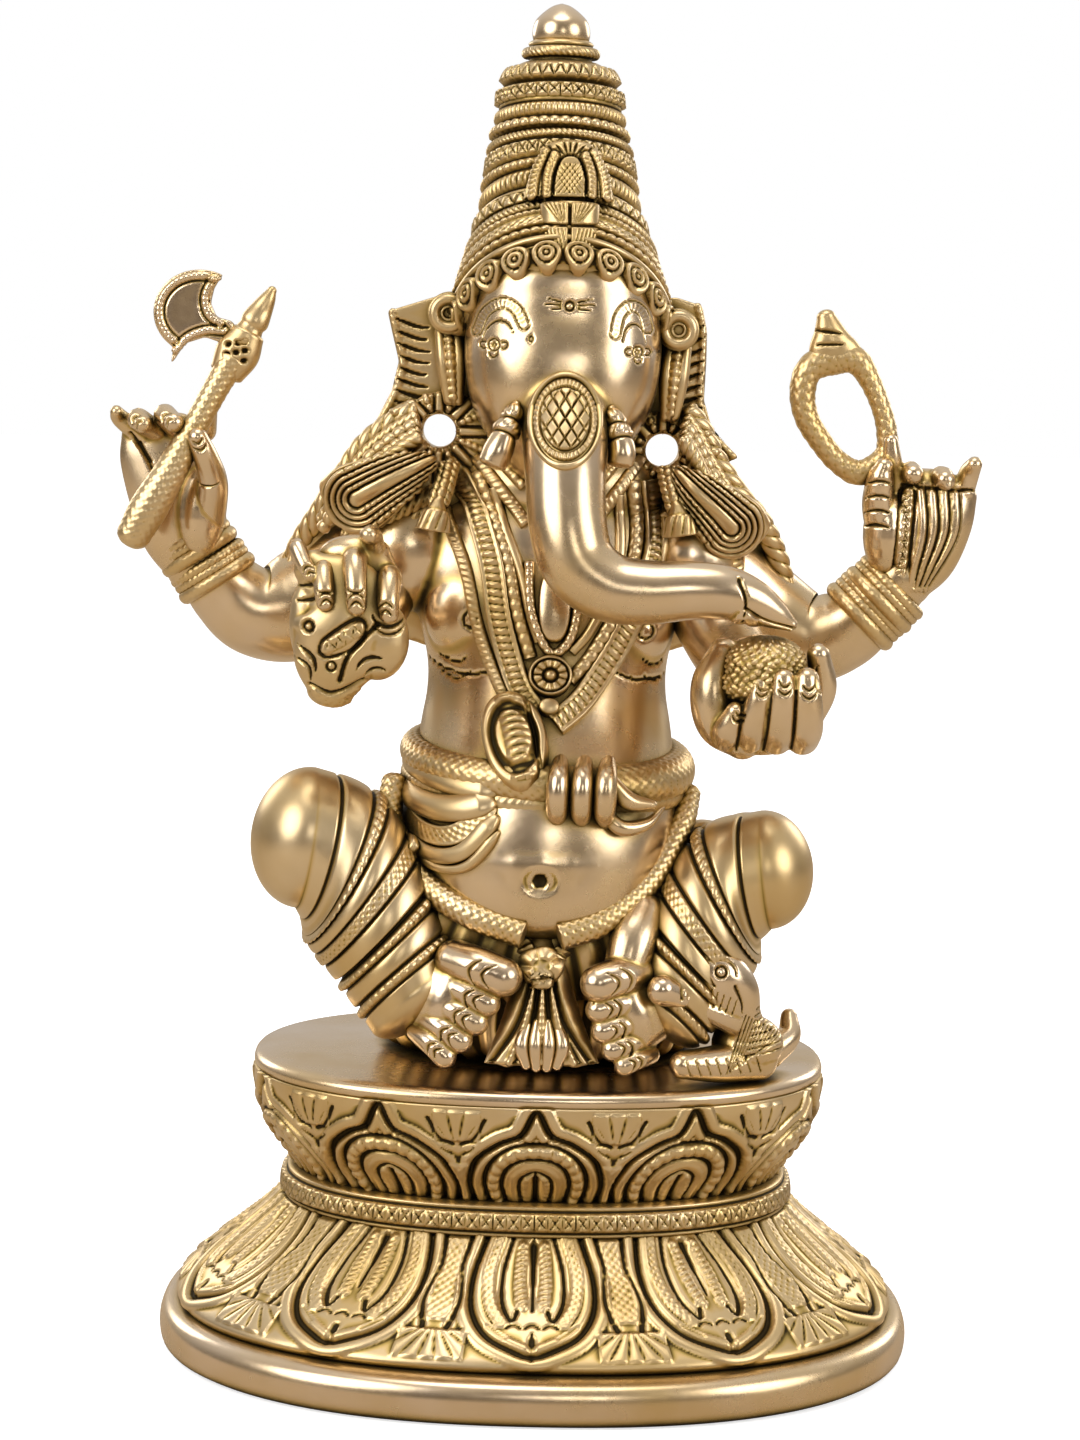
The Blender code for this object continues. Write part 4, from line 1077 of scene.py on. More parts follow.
def make_hem():
    """The dhoti's scaly hem, in two lengths that hang in a V under the belly."""
    scaled = clad(scales(ALL_ROUND, 0.45, 1.35))
    hem = [
        sweep([
            (-22.4, -10, 87.4, 1.6, 1.2), (-22.8, -13, 81.7, 1.7, 1.3), (-18.8, -17.4, 74.6, 1.8, 1.3),
            (-10.8, -22.4, 70, 1.8, 1.3), (-2.6, -24.6, 67.4, 1.8, 1.3)
        ], 0.2, 66, scaled, ends=(1, 0.2)),
        sweep([
            (2.8, -24.6, 67.2, 1.8, 1.3), (9.2, -22.6, 69.4, 1.8, 1.3), (16.0, -17.6, 74.8, 1.8, 1.3),
            (20.3, -12, 81.8, 1.7, 1.3), (21.6, -8, 86.4, 1.6, 1.2)
        ], 0.2, 66, scaled, ends=(0.2, 1))
    ]
    add_casting("dhoti_hem", joined(hem), CHASED)


def make_belt():
    """The scaly serpent round the waist, and a thinner twisted cord under it."""
    turns = np.linspace(0, TURN, 24, endpoint=False)
    belt = [(19.6 * math.cos(a), 17.2 * math.sin(a) - 4.6, 90.6 - 1.2 * math.cos(a) + 1.6 * math.sin(a),
             2.4 + 0.4 * math.cos(a), 2.7 + 0.5 * math.cos(a)) for a in turns]
    under = [
        (
            19.9 * math.cos(a), 17.4 * math.sin(a) - 4.6, 87.4 - 0.8 * math.cos(a) + 1.4 * math.sin(a), 1.7,
            1.9
        )
        for a in turns
    ]
    snake = sweep(belt, 0.22, 76, clad(scales(ALL_ROUND, 0.4, 1.5)), (0, 0, 1), endless=True)
    cord_under = sweep(under, 0.25, 60, clad(ribs(ALL_ROUND, 0.15, 1.1, 0.6)), (0, 0, 1), endless=True)
    add_casting("serpent_belt", joined([snake, cord_under]), CHASED)


def make_sash(ground):
    """Five folds that fan out from the knot across the right hip."""
    folds = [
        ([(-23.4, 91.6), (-18.2, 89.6), (-12.4, 88.4), (-6.2, 88.0)], 2.0, ridge(2.0, 1.3)),
        ([(-23.0, 88.4), (-18.6, 85.4), (-13.4, 84.8), (-6.6, 86.6)], 2.0, ridge(2.0, 1.3)),
        ([(-21.6, 84.4), (-17.4, 81.2), (-12.4, 81.4), (-6.8, 86.0)], 1.5,
         edged(scales(1.2, 0.5, 1.2), 1.4, ridge(0.35, 0.45))),
        ([(-20.4, 80.9), (-16.6, 78.2), (-11.4, 79.0), (-6.4, 84.8)], 1.3, ridge(1.3, 0.8)),
        ([(-18.6, 78.2), (-15.0, 76.3), (-10.6, 77.2), (-6.2, 82.6)], 0.8, ridge(0.8, 0.6)),
    ]
    sash = [ribbon(ground, line, half, pattern, lift=0.7, taper=2.5) for line, half, pattern in folds]
    add_casting("hip_sash", joined(sash), CHASED)


def hood_relief(x, z, r):
    """Relief of the serpent's hood: a domed oval in a raised rim, with a ribbed column up its middle."""
    column = hump((x - 0.6) / 2.0) * (np.abs(z) < 6)
    return (
        1.6 * np.sqrt(hump(r * 0.98)) + 0.7 * np.sqrt(hump((r - 0.84) / 0.15))
        - 0.7 * hump((r - 0.62) / 0.12)
        + column * (0.5 + 0.35 * np.sqrt(0.5 + 0.5 * np.cos(TURN * z / 1.15))) - 0.7 * hump((x - 2.7) / 0.4)
    )


def make_hood(ground):
    """The serpent's hood, raised on the belly over the belt."""
    hood = patch(ground, (-4.2, 94.6), (4.6, 7.3), hood_relief, lift=1.6, sink=1.5, tilt=12)
    add_casting("serpent_hood", hood, CHASED)


def make_knot():
    """Three coils of the serpent's knot, and its two tails."""
    coils = [sweep([(x, -21.6, 84.6, 1.3, 2), (x - 0.1, -25.2, 86.4, 1.65, 2), (x, -25.2, 90.2, 1.65, 2),
                    (x + 0.2, -21.4, 91.8, 1.3, 2)], 0.3, 32) for x in (2.0, 5.5, 8.9)]
    tail = [
        sweep([
            (8.8, -22.6, 85.4, 1.0, 1.2), (11.4, -23.0, 83.2, 1.2, 1.2), (15.0, -21.4, 83.6, 0.9, 1.0),
            (17.4, -19.4, 85.6, 0.3, 0.4)
        ], 0.3, 24),
        sweep([
            (9.4, -23, 90.4, 1.0, 1.2), (12.2, -22.6, 87.2, 1.4, 1.4), (15.8, -21, 86.4, 0.7, 0.9)
        ], 0.3, 24)
    ]
    add_casting("belt_knot", joined(coils + tail), POLISHED)


def blossom_relief(x, z, r):
    """Relief of the pleat's flower: five lobes round a dome."""
    return 0.5 * np.sqrt(hump(r * 0.98)) + 0.5 * np.abs(np.cos(2.5 * np.arctan2(z, x))) * (r > 0.35)


def leaf_relief(x, z, r):
    """Relief of a leaf beside the pleat's flower: a dome cut across."""
    return 0.5 * np.sqrt(hump(r * 0.98)) - 0.25 * np.cos(z * 7)


def make_pleat():
    """A fan of pleats hanging between the feet, with a flower at its top and a tassel at its foot."""
    fan = sweep([
        (0, -17, 68, 3.2, 3.6), (0.2, -21, 62, 3.8, 3.4), (0.4, -23.6, 55, 5.8, 3),
        (0.5, -25, 48.4, 8.4, 2.2)
    ], 0.3, 150, ends=(0.6, 0.2))
    strokes = []
    for k in range(-3, 4):
        foot = (0.5 + 2.5 * k, 47.6 + 0.12 * k * k)
        pattern = beads(0.5, 0.45) if k % 2 == 0 else groove(0.55, 0.9)
        strokes.append(([(0.4 + 0.5 * k, 61), (0.4 + 1.3 * k, 54), foot], pattern, 1.5))
        if k % 2 == 0 and k:
            strokes.append(([
                (0.9 + 0.5 * k, 61), (1.2 + 1.3 * k, 54), (foot[0] + 1, foot[1])
            ], groove(0.3, 0.5)))
    fan = carved(fan, strokes)
    ground = ground_of(fan)
    flower = patch(ground, (0.2, 62.4), (2.9, 2.9), blossom_relief, lift=0.7)
    leaves = [
        patch(
            ground, (0.2 + 2.3 * way, 65.0 - 1.0 * (way > 0)), (1.2, 2.0), leaf_relief, lift=0.6,
            tilt=-38 * way
        )
        for way in (-1, 1)
    ]
    tassel = [
        sweep([
            (0.5 + 1.5 * k, -25.8, 54.6 - 0.2 * k * k, 0.7, 0.8), (0.5 + 2.0 * k, -27, 51.4, 1.05, 1.0),
            (0.5 + 1.5 * k, -26.8, 48.2 + 0.15 * k * k, 0.8, 0.8)
        ], 0.3, 24)
        for k in (-1.5, -0.5, 0.5, 1.5)
    ]
    add_casting("front_pleat", joined([fan, flower] + leaves), CHASED)
    add_piece("pleat_tassel", joined(tassel), POLISHED)


# ---------------------------------------------------------------- head

# The skull's levels as wall() takes them, and the root that carries the trunk out of the face
HEAD = [
    (131, 1.2, -4, 5.6, 6, 0), (134, 1.2, -4, 7.8, 9.0, 0), (138, 1.3, -4.2, 10.4, 12.6, 0),
    (142, 1.3, -4.4, 12.7, 14.6, 0), (146, 1.3, -4.5, 14.0, 15.5, 0), (151, 1.3, -4.6, 14.6, 15.2, 0),
    (156, 1.3, -4.4, 14.4, 14.2, 0), (160, 1.2, -4.2, 13.8, 13.8, 0), (164, 1.1, -4, 12.6, 13.0, 0),
    (167, 0.9, -3, 9, 9, 0)
]
ROOT = [
    (1.4, -6.0, 159, 8.6, 7.6), (1.4, -8.8, 154, 9.0, 7.8), (1.5, -11.0, 149.6, 8.6, 7.4),
    (1.65, -13.8, 145.4, 7.6, 6.9), (1.85, -18.0, 141.2, 6.4, 6.1), (2.0, -21.6, 137, 5.3, 5.4)
]
TRUNK = [
    (1.7, -13.0, 146.5, 5.2, 4.4), (1.8, -16.6, 143, 5.9, 5.4), (1.9, -20.2, 139.4, 6.2, 6.0),
    (2, -23.4, 134.4, 5.8, 5.8), (2.5, -26.2, 127.5, 5.6, 5.5), (4.2, -27.6, 122, 5.4, 5.2),
    (8.6, -28.6, 118.8, 5.0, 4.8), (14, -29, 118.2, 4.6, 4.5), (20, -29.2, 118.6, 4.2, 4.1),
    (25, -29, 118.4, 3.9, 3.7), (29, -28.6, 117.2, 3.3, 3.1), (32.4, -28.2, 115.4, 2.2, 2.1),
    (34.8, -28, 113.9, 1.0, 1.0)
]


def eye_marks(brow, iris, radius):
    """A hatched brow, a crease under it, a ringed iris and three loops round it."""
    brow = np.asarray(brow, float)
    x, z = iris
    drop = np.array([0, -1.3])
    marks = [(brow, edged(ribs(0.6, -0.14, 0.6), 0.75, groove(0.15, 0.3)), 2),
             (brow * (0.72, 0.8) + (0.28 * x, 0.2 * z) + drop, lens(0.2, 0.35)),
             circle(iris, radius, groove(0.2, 0.4)),
             circle(iris, 0.35, groove(0.3, 0.4), 7)]
    for turn in (180, 270, 0):
        way = math.radians(turn)
        spot = (x + 1.7 * radius * math.cos(way), z + 1.5 * radius * math.sin(way))
        loop = arc(spot, (0.75 * radius, 0.6 * radius), turn + 115, turn - 115, 11)
        marks.append((loop, groove(0.18, 0.35)))
    return marks


def make_skull():
    """The skull and the trunk's root, with engraved eyes and forehead mark."""
    skull = fused([wall(HEAD, 0.8, 2.5), sweep(ROOT, 0.6, 60)], 0.245, 40)
    marks = eye_marks([
        (-11.4, 154.6), (-10.2, 157.2), (-7.9, 158.6), (-5.7, 157.8), (-4.4, 155.6)
    ], (-8.9, 152.6), 0.85)
    marks += eye_marks([
        (8.8, 154.6), (9.4, 157.2), (11.0, 158.6), (12.8, 157.8), (13.7, 155.4)
    ], (12.3, 152.0), 0.8)
    marks += [circle((2.1, 158.4), 0.65, groove(0.3, 0.5)),
              (arc((-3.4, 153.6), (0.3, 0.5), 0, 360, 7), groove(0.2, 0.3))]
    for way in (-1, 1):
        for rise in (-0.9, 0, 0.9):
            marks.append(([
                (2.1 + 1.2 * way, 158.5 + 0.5 * rise), (2.1 + (4.4 - abs(rise)) * way, 158.6 + rise)
            ], wedge(0.24, 0.45)))
    skull = carved(skull, marks)
    add_casting("head", skull, POLISHED)
    return skull


def make_trunk():
    """The trunk, which hangs and then turns to the sweets, with its lips cut in."""
    trunk = sweep(TRUNK, 0.28, 130, ends=(0.5, 0.8))
    mouth = [([(27.0, 120.6), (28.0, 117.4), (27.4, 113.6)], wedge(0.4, 0.7), 2),
             ([(28.0, 116.4), (31.0, 114.6), (35.4, 113.4)], groove(0.3, 0.6), 2),
             ([(26.6, 113.8), (28.2, 115.4), (29.4, 113.4)], ridge(0.9, 0.5), 2)]
    trunk = carved(trunk, mouth)
    add_casting("trunk", trunk, POLISHED)
    return trunk


def medal_relief(x, z, r):
    """Relief of the medallion: a rim, a ladder between two grooves, and a field of diamonds."""
    rim = 0.3 * np.sqrt(hump((r - 0.93) / 0.07)) - 0.45 * hump((r - 0.84) / 0.05)
    turn = np.arctan2(z / 6.9, x / 5.1)
    steps = 0.3 * np.sqrt(np.abs(np.cos(22 * turn))) * (np.abs(r - 0.74) < 0.07)
    ladder = steps - 0.45 * hump((r - 0.64) / 0.045)
    cuts = np.minimum(np.abs(np.sin((x + 0.62 * z) * 1.9)), np.abs(np.sin((x - 0.62 * z) * 1.9)))
    return rim + ladder + 0.5 * np.clip(cuts / 0.45, 0, 1) * (r < 0.6)


def make_medallion(skull, trunk):
    """The oval medallion where the trunk leaves the face."""
    ground = ground_of(skull, trunk)
    medal = patch(ground, (1.8, 142.2), (5.3, 6.9), medal_relief, lift=0.35, step=0.15)
    add_piece("trunk_medallion", medal, CHASED)


def make_tusks():
    """Two short blunt tusks with slanting ribs round them."""
    sleeve = banded(
        (1.4, ribs(0.9, 0.4, 1.0, 0.5)), (2.8, groove(0.25, 0.4)), (3.9, ribs(0.8, 0.4, 1.0, -0.5)),
        (5.0, groove(0.25, 0.4))
    )
    tusks = {
        "right": [
            (-5.4, -17.6, 143.6, 1.0, 1.8), (-6.5, -19.6, 140.6, 1.7, 2.2), (-7.7, -20.8, 137.6, 2.2, 2.2),
            (-8.5, -21.2, 135.6, 2.1, 1.8)
        ],
        "left": [
            (8.6, -17.6, 143.2, 1.0, 1.8), (9.5, -19.6, 140.4, 1.7, 2.1), (10.1, -20.8, 137.8, 2.0, 2.1),
            (9.9, -21.2, 136.0, 1.9, 1.7)
        ]
    }
    for side, stations in tusks.items():
        add_casting(side + "_tusk", sweep(stations, 0.2, 60, sleeve, ends=(0.6, 0.35)), POLISHED)


EARS = {
    "right": [
        (-11, 158.8), (-17, 159.6), (-25.0, 157.0), (-24.2, 153.6), (-23.2, 149.6), (-24.2, 145.2),
        (-26.6, 140.4), (-29.4, 136.4), (-24, 134.6), (-19.8, 136), (-19.9, 139), (-18.6, 142.4),
        (-11, 143.8)
    ],
    "left": [
        (13, 159), (18, 160), (22.0, 158.8), (22.8, 155), (22.8, 150), (22.6, 144.8), (24.0, 140.4),
        (28.0, 136.4), (24, 134.2), (19.6, 134.8), (19.5, 137), (18.4, 140.6), (12, 142)
    ]
}
RING = {"right": (-16.9, 139.4), "left": (16.5, 137.2)}


def make_ear(side, way):
    """A fluted ear plate with a ribbed rim."""
    ear = fused([prism(EARS[side], -1.6, 2.4)], 0.24, 5)
    edge = EARS[side][3][0]
    flutes = []
    for k in range(9):
        z = 156.0 - 1.75 * k
        flutes.append(([
            (edge - way * 0.3, z), (edge - way * 3.6, z - 1.2), (edge - way * 5.8, z - 1.4)
        ], lens(0.36, 0.7), 2))
    rim = [(x - way * 0.7, z) for x, z in EARS[side][2:8]]
    flutes.append((rim, rows((0, ribs(0.5, 0.3, 1.0, 0.4)), (-0.8 * way, groove(0.2, 0.4))), 2))
    ear = carved(carved(ear, flutes), flutes, facing=1)
    add_casting(side + "_ear", ear, CHASED)


def rosette_relief(x, z, r):
    """Relief of the rosette's face: a fat ring between a rim and a sunk middle."""
    return (0.9 * np.sqrt(hump((r - 0.66) / 0.26)) - 0.9 * hump(r / 0.28) - 0.5 * hump((r - 0.93) / 0.06)
            + 0.3 * hump((r - 0.3) / 0.1))


def make_rosette(side, way):
    """The rosette in front of an ear, and the three lengths of its drop, beaded in the middle."""
    x = 1.3 + way * 17.0
    z = 156.9 if way < 0 else 155.2
    disc = sweep(
        [(x, -1, z, 3.2, 3.2), (x, -6.8, z, 3.1, 3.1)], 0.3, 60, depth_axis=(0, 0, 1), ends=(0.1, 0.1)
    )
    spot = ground_of(disc)
    face = patch(spot, (x, z), (3.05, 3.05), rosette_relief, lift=0.4, step=0.15)
    drop = [
        sweep(
            [
                (x + 1.25 * k * way, -4.8, z - 2.8, 0.85, 1.1),
                (x + (1.2 * k - 0.5) * way, -5.6, z - 7.5, 1.0, 1.2),
                (x + (0.7 * k - 0.9) * way, -5.0, z - 12.8, 0.8, 1.0)
            ],
            0.25, 30, None if k else banded(*[(1.2 * i, beads(0.6, 0.35)) for i in range(9)])
        )
        for k in (-1, 0, 1)
    ]
    add_casting(side + "_ear_rosette", joined([disc, face] + drop), CHASED)


def make_shoulder_fold(side, way):
    """A rayed plate over the shoulder, with a round hole through it."""
    middle = RING[side]
    spread = [
        (8.6, 0.6), (7.0, 3.2), (3.4, 4.6), (-1.5, 5.6), (-6, 4), (-10, 0), (-13, -7), (-9, -13),
        (0.4, -12), (5.4, -6.2)
    ]
    outline = [(middle[0] + way * u, middle[1] + w) for u, w in spread]
    collar = washer(middle, 2.5, outline, -4.2, 2.4)
    rays = [circle(middle, 2.9, groove(0.22, 0.4), 25)]
    for k in range(16):
        turn = math.radians(22.5 * k)
        way_out = np.array([math.cos(turn), math.sin(turn)])
        pattern = beads(0.55, 0.45) if k % 2 else edged(ridge(0.55, 0.3), 0.8, groove(0.22, 0.5))
        rays.append((np.array([middle + way_out * 3.3, middle + way_out * 13]), pattern, 1.6))
    collar = carved(collar, rays)
    add_piece(side + "_shoulder_fold", collar, CHASED)


def washer(middle, radius, outline, front, back):
    """A plate with a round hole through it, whose rim passes through the outline's points."""
    turn = np.linspace(-math.pi, math.pi, 200, endpoint=False)
    gap = np.asarray(outline, float) - middle
    at = np.arctan2(gap[:, 1], gap[:, 0])
    order = np.argsort(at)
    reach = np.interp(turn, at[order], np.hypot(*gap.T)[order], period=TURN)
    rings = []
    for share, y in [(t, front) for t in np.linspace(0, 1, 48)] + [(t, back) for t in np.linspace(1, 0, 12)]:
        size = radius + (reach - radius) * share
        rim = 0.8 * (max(0.0, share - 0.86) / 0.14 + max(0.0, 0.06 - share) / 0.06) ** 2
        rings.append(np.stack([
            middle[0] + size * np.cos(turn), np.full(len(turn), y + (rim if y == front else -rim)),
            middle[1] + size * np.sin(turn)
        ], axis=1))
    return turned_out(skin(np.array(rings), endless=True))


def make_crest():
    """The crown's front: a hatched panel between milled arches under a palmette, over four facets."""
    base = fused([
        sweep([(1.8, -15.4, 165.9, 4.3, 3.2), (1.8, -15.0, 173.0, 4.3, 2.8)], 0.4, 60, ends=(0.15, 0.15)),
        sweep([
            (1.6, -13.4, 173.6, 6.6, 2.6), (1.6, -12.6, 177.4, 5.6, 2.4), (1.6, -11.6, 181.2, 3.6, 1.9)
        ], 0.4, 60, ends=(0.15, 0.5))
    ], 0.17, 2)
    marks = [
        ([(1.8, 173.4), (1.8, 166.0)], groove(0.35, 0.8)),
        ([(-2.4, 169.9), (6.0, 169.9)], groove(0.28, 0.6)),
        ([(-2.6, 173.6), (6.4, 173.6)], groove(0.35, 0.8))
    ]
    for k in range(5):
        marks.append(([(1.2 - 0.2 * k, 170.4), (0.9 - 0.75 * k, 173.2)], groove(0.13, 0.22)))
        marks.append(([(2.4 + 0.2 * k, 170.4), (2.7 + 0.75 * k, 173.2)], groove(0.13, 0.22)))
        marks.append(([(-1.6 + 0.6 * k, 169.4), (-1.0 + 0.6 * k, 166.8)], groove(0.11, 0.18)))
        marks.append(([(2.6 + 0.6 * k, 166.8), (3.2 + 0.6 * k, 169.4)], groove(0.11, 0.18)))
    panel = [(-0.8, 174.2), (-0.5, 177.4), (0.6, 179.8), (2.8, 179.9), (4.0, 177.4), (4.2, 174.3)]
    marks.append((panel, rows((0, groove(0.28, 0.7))), 1.6))
    for k in range(-2, 3):
        x = 1.7 + 0.75 * k
        marks.append(([(x - 1.6, 174.6), (x + 1.6, 178.8)], groove(0.12, 0.2)))
        marks.append(([(x + 1.6, 174.6), (x - 1.6, 178.8)], groove(0.12, 0.2)))
    for way in (-1, 1):
        x = 1.7 + way * 0.1
        inner = [(x + way * 3.2, 174.2), (x + way * 3.1, 177.2), (x + way * 2.2, 180.0)]
        outer = [(x + way * 5.4, 174.0), (x + way * 5.0, 177.4), (x + way * 3.6, 180.6)]
        marks += [(inner, edged(ribs(0.6, 0.45, 0.7, 0.5), 0.85, groove(0.2, 0.45)), 1.6),
                  (outer, edged(ribs(0.6, 0.45, 0.75, -0.5), 0.85, groove(0.2, 0.45)), 1.6)]
    for k in range(-2, 3):
        marks.append(([(1.7 + 0.35 * k, 180.0), (1.7 + 1.1 * k, 182.6 - 0.25 * k * k)], lens(0.26, 0.5)))
    add_casting("crown_crest", carved(base, marks), CHASED)


# ---------------------------------------------------------------- shoulders and chest

# Each pad: its stations, the line up its face that the rings follow, and the rings' half width
PAISLEYS = {
    "right": (
        [
            (-18.6, -8.6, 134.9, 1.5, 1.4), (-21.4, -9.6, 133.4, 3.2, 1.9), (-25.4, -9.6, 131.2, 4.8, 2.1),
            (-28.8, -8.4, 129.3, 5.6, 2.3), (-31.4, -6.8, 128.0, 4.9, 2.2)
        ],
        [(-17.4, 135.6), (-21.4, 133.6), (-25.4, 131.4), (-28.6, 129.4)], 4.9
    ),
    "left": (
        [
            (19.4, -8.6, 133.6, 1.5, 1.4), (21.4, -9.6, 131.8, 2.9, 1.9), (24.2, -9.6, 129.0, 4.6, 2.1),
            (27.0, -8.4, 126.4, 5.4, 2.3), (29.2, -6.8, 124.6, 4.6, 2.2)
        ],
        [(18.6, 134.4), (21.4, 131.6), (24.4, 128.8), (26.8, 126.4)], 4.6
    )
}
# Silhouettes of the shoulders, from the neck outwards: x, y, z
SHOULDER_EDGES = {
    "right": [
        (-20.8, -3.4, 142.4), (-23.0, -3.0, 141.2), (-26, -2.6, 139.0), (-28.8, -2.2, 136.2),
        (-31.8, -1.2, 131.4), (-34.8, 0.8, 126.8), (-37.6, 2.8, 122.4), (-39.4, 4.0, 118.6)
    ],
    "left": [
        (20.4, -3.4, 143.0), (22.2, -3.0, 140.6), (24.4, -2.6, 136.4), (28.2, -2.2, 130.8),
        (31.6, -0.8, 127.0), (34.4, 1.8, 121.6), (36.2, 4.0, 115.8)
    ]
}


def nested(half):
    """Rings round a smooth core that widens along its line: bead, plain and milled, each past a groove."""
    def pattern(d, s, n):
        r = np.abs(d) / (half * (0.30 + 0.70 * np.sqrt(np.clip(s / n, 0, 1))))
        turn = s + 1.2 * np.arctan2(np.abs(d), n + 0.5 - s)
        bead = 0.25 + 0.75 * np.sqrt(np.abs(np.cos(2.4 * turn)))
        milled = 0.25 + 0.75 * np.sqrt(np.abs(np.cos(1.9 * turn + 0.8 * r)))
        gaps = sum(hump((r - edge) / 0.035) for edge in (0.27, 0.46, 0.64, 0.82))
        rise = (0.5 * np.sqrt(hump(r / 0.24)) + 0.6 * bead * np.sqrt(hump((r - 0.365) / 0.08))
                + 0.5 * np.sqrt(hump((r - 0.55) / 0.075)) + 0.6 * bead * np.sqrt(hump((r - 0.73) / 0.08))
                + 0.7 * milled * np.sqrt(hump((r - 0.91) / 0.085)))
        return (rise - 0.45 * gaps) * (r < 1) - 0.4 * hump((r - 1.03) / 0.05)
    return pattern


def cord(points, half, height=0.3, pitch=1.3, slant=0.8, sides=36):
    """A twisted cord through points of x, y, z, a little wider than deep."""
    line = [(*p, half, half * 0.85) for p in points]
    return sweep(line, 0.2, sides, clad(
        lambda d, s, n: height * np.sqrt(np.abs(np.cos(math.pi * (s + slant * d) / pitch)))
    ))


def beaded(points, half):
    """A string of beads through points of x, y, z."""
    line = [(*p, half * 0.72, half * 0.72) for p in points]
    pitch = 2.0 * half
    return sweep(
        line, 0.16, 24, lambda s, around, turn: half * 0.42 * np.sqrt(hump(2 * ((s / pitch) % 1) - 1))
    )


def make_shawl():
    """The shawl behind the shoulders, with falling folds and a beaded border on its back."""
    shawl = fused([prism([
        (-12, 132.4), (-19, 134.6), (-25, 136.6), (-30, 136.4), (-35, 130), (-38.6, 123), (-41, 116),
        (-39, 110.6), (-30, 110), (-18, 106), (0, 104), (18, 106), (30, 110), (36.4, 108.6), (38.8, 113.6),
        (35.6, 122), (31.6, 129.4), (27.4, 134.6), (23, 134), (18, 133), (12, 131)
    ], 5.6, 12.2, -0.0025)], 0.5, 6)
    folds = []
    for k in range(-6, 7):
        folds.append(([(1.3 * k, 131), (3.4 * k, 122), (5.4 * k, 107 + 0.1 * k * k)],
                      rows((0, groove(0.8, 0.8)), (2.0, ridge(1.0, 0.3))), 4))
    border = [
        (-38.6, 121), (-36.8, 113.4), (-26, 110.6), (-13, 107.6), (0, 106.4), (13, 107.6), (26, 110.6),
        (34.8, 112.4), (36, 120)
    ]
    folds.append((border, edged(beads(0.9, 0.6), 1.6, groove(0.4, 0.6)), 3))
    add_casting("back_shawl", carved(shawl, folds, facing=1), CHASED)


def make_epaulette(side, way):
    """A paisley pad on a shoulder, with nested beaded rings."""
    stations, spine, half = PAISLEYS[side]
    pad = sweep(stations, 0.2, 210, depth_axis=(0.35 * way, 1, 0), ends=(1, 0.75))
    pad = carved(pad, [(spine, nested(half), 8)])
    add_casting(side + "_epaulette", pad, CHASED)


def make_shoulder_cords(side, way):
    """Rows of cords and beads along a shoulder's outline."""
    edge = np.array(SHOULDER_EDGES[side])
    share = np.linspace(0, 1, len(edge))[:, None]
    inner = edge[:-2] + (0.6 * -way, -2.6, -1.9) * (1 + 0.3 * share[:-2])
    lowest = edge[:-3] + (0.9 * -way, -4.4, -4.0) * (1 + 0.4 * share[:-3])
    ropes = [
        cord(edge, 1.3, 0.4, 2.4, 1.0, 44), beaded(inner, 0.95),
        cord(0.5 * (edge[:-2] + inner), 0.8, 0.2, 1.2), cord(lowest, 0.9, 0.25, 1.4, -0.8),
        beaded(0.5 * (lowest + inner[:len(lowest)]), 0.75)
    ]
    add_piece(side + "_shoulder_cords", joined(ropes), CHASED)


def make_flounce(side, way):
    """Three rope edges under a shoulder's pad."""
    under = [(pad_x - 1.2 * way, y + 2.6, z - 4.6) for pad_x, y, z, _, _ in PAISLEYS[side][0]]
    add_piece(side + "_shoulder_flounce", joined([
        cord(
            [(a - 1.0 * way * k, b + 0.6 * k, c - 1.5 * k) for a, b, c in under], 1.05, 0.4, 1.4 + 0.2 * k,
            0.9
        )
        for k in range(3)
    ]), CHASED)


def make_tassel(side, way):
    """A beaded cord beside the neck that ends in a ribbed bell."""
    x = 1.0 + 17.6 * way
    top = [(x - 1.4 * way, -7.0, 134.6), (x - 0.8 * way, -9.6, 131.8), (x, -11.0, 129.0)]
    bell = sweep(
        [
            (x, -10.8, 129.4, 0.9, 0.9), (x + 0.3 * way, -11.4, 127.4, 1.8, 1.2),
            (x + 0.6 * way, -11.4, 125.2, 2.4, 1.3)
        ],
        0.16, 70, lambda s, around, turn: 0.3 * np.sqrt(np.abs(np.cos(around * 2.6))) * (s > 1.5),
        ends=(0.6, 0.15)
    )
    add_piece(side + "_tassel", joined([
        beaded(top, 0.75), cord([(a - 0.9, b + 0.4, c) for a, b, c in top], 0.5),
        cord([(a + 0.9, b + 0.4, c) for a, b, c in top], 0.5), bell
    ]), CHASED)


def make_garland(ground):
    """The garland's two long milled strands."""
    outer_right = [(-14.2, 133.4), (-11.6, 129.6), (-8.6, 121), (-7.0, 112), (-4.2, 103), (-1.4, 98.6)]
    outer_left = [
        (14.8, 133), (15.8, 124), (14.1, 117.3), (11.8, 111.8), (9.0, 106.6), (5.2, 100.8), (1.2, 97.2)
    ]
    milled = edged(ribs(1.05, 0.6, 1.15, 0.25), 1.5, ridge(0.4, 0.35))
    strands = [ribbon(ground, line, 1.9, milled, lift=0.7) for line in (outer_right, outer_left)]
    add_casting("garland", joined(strands), CHASED)


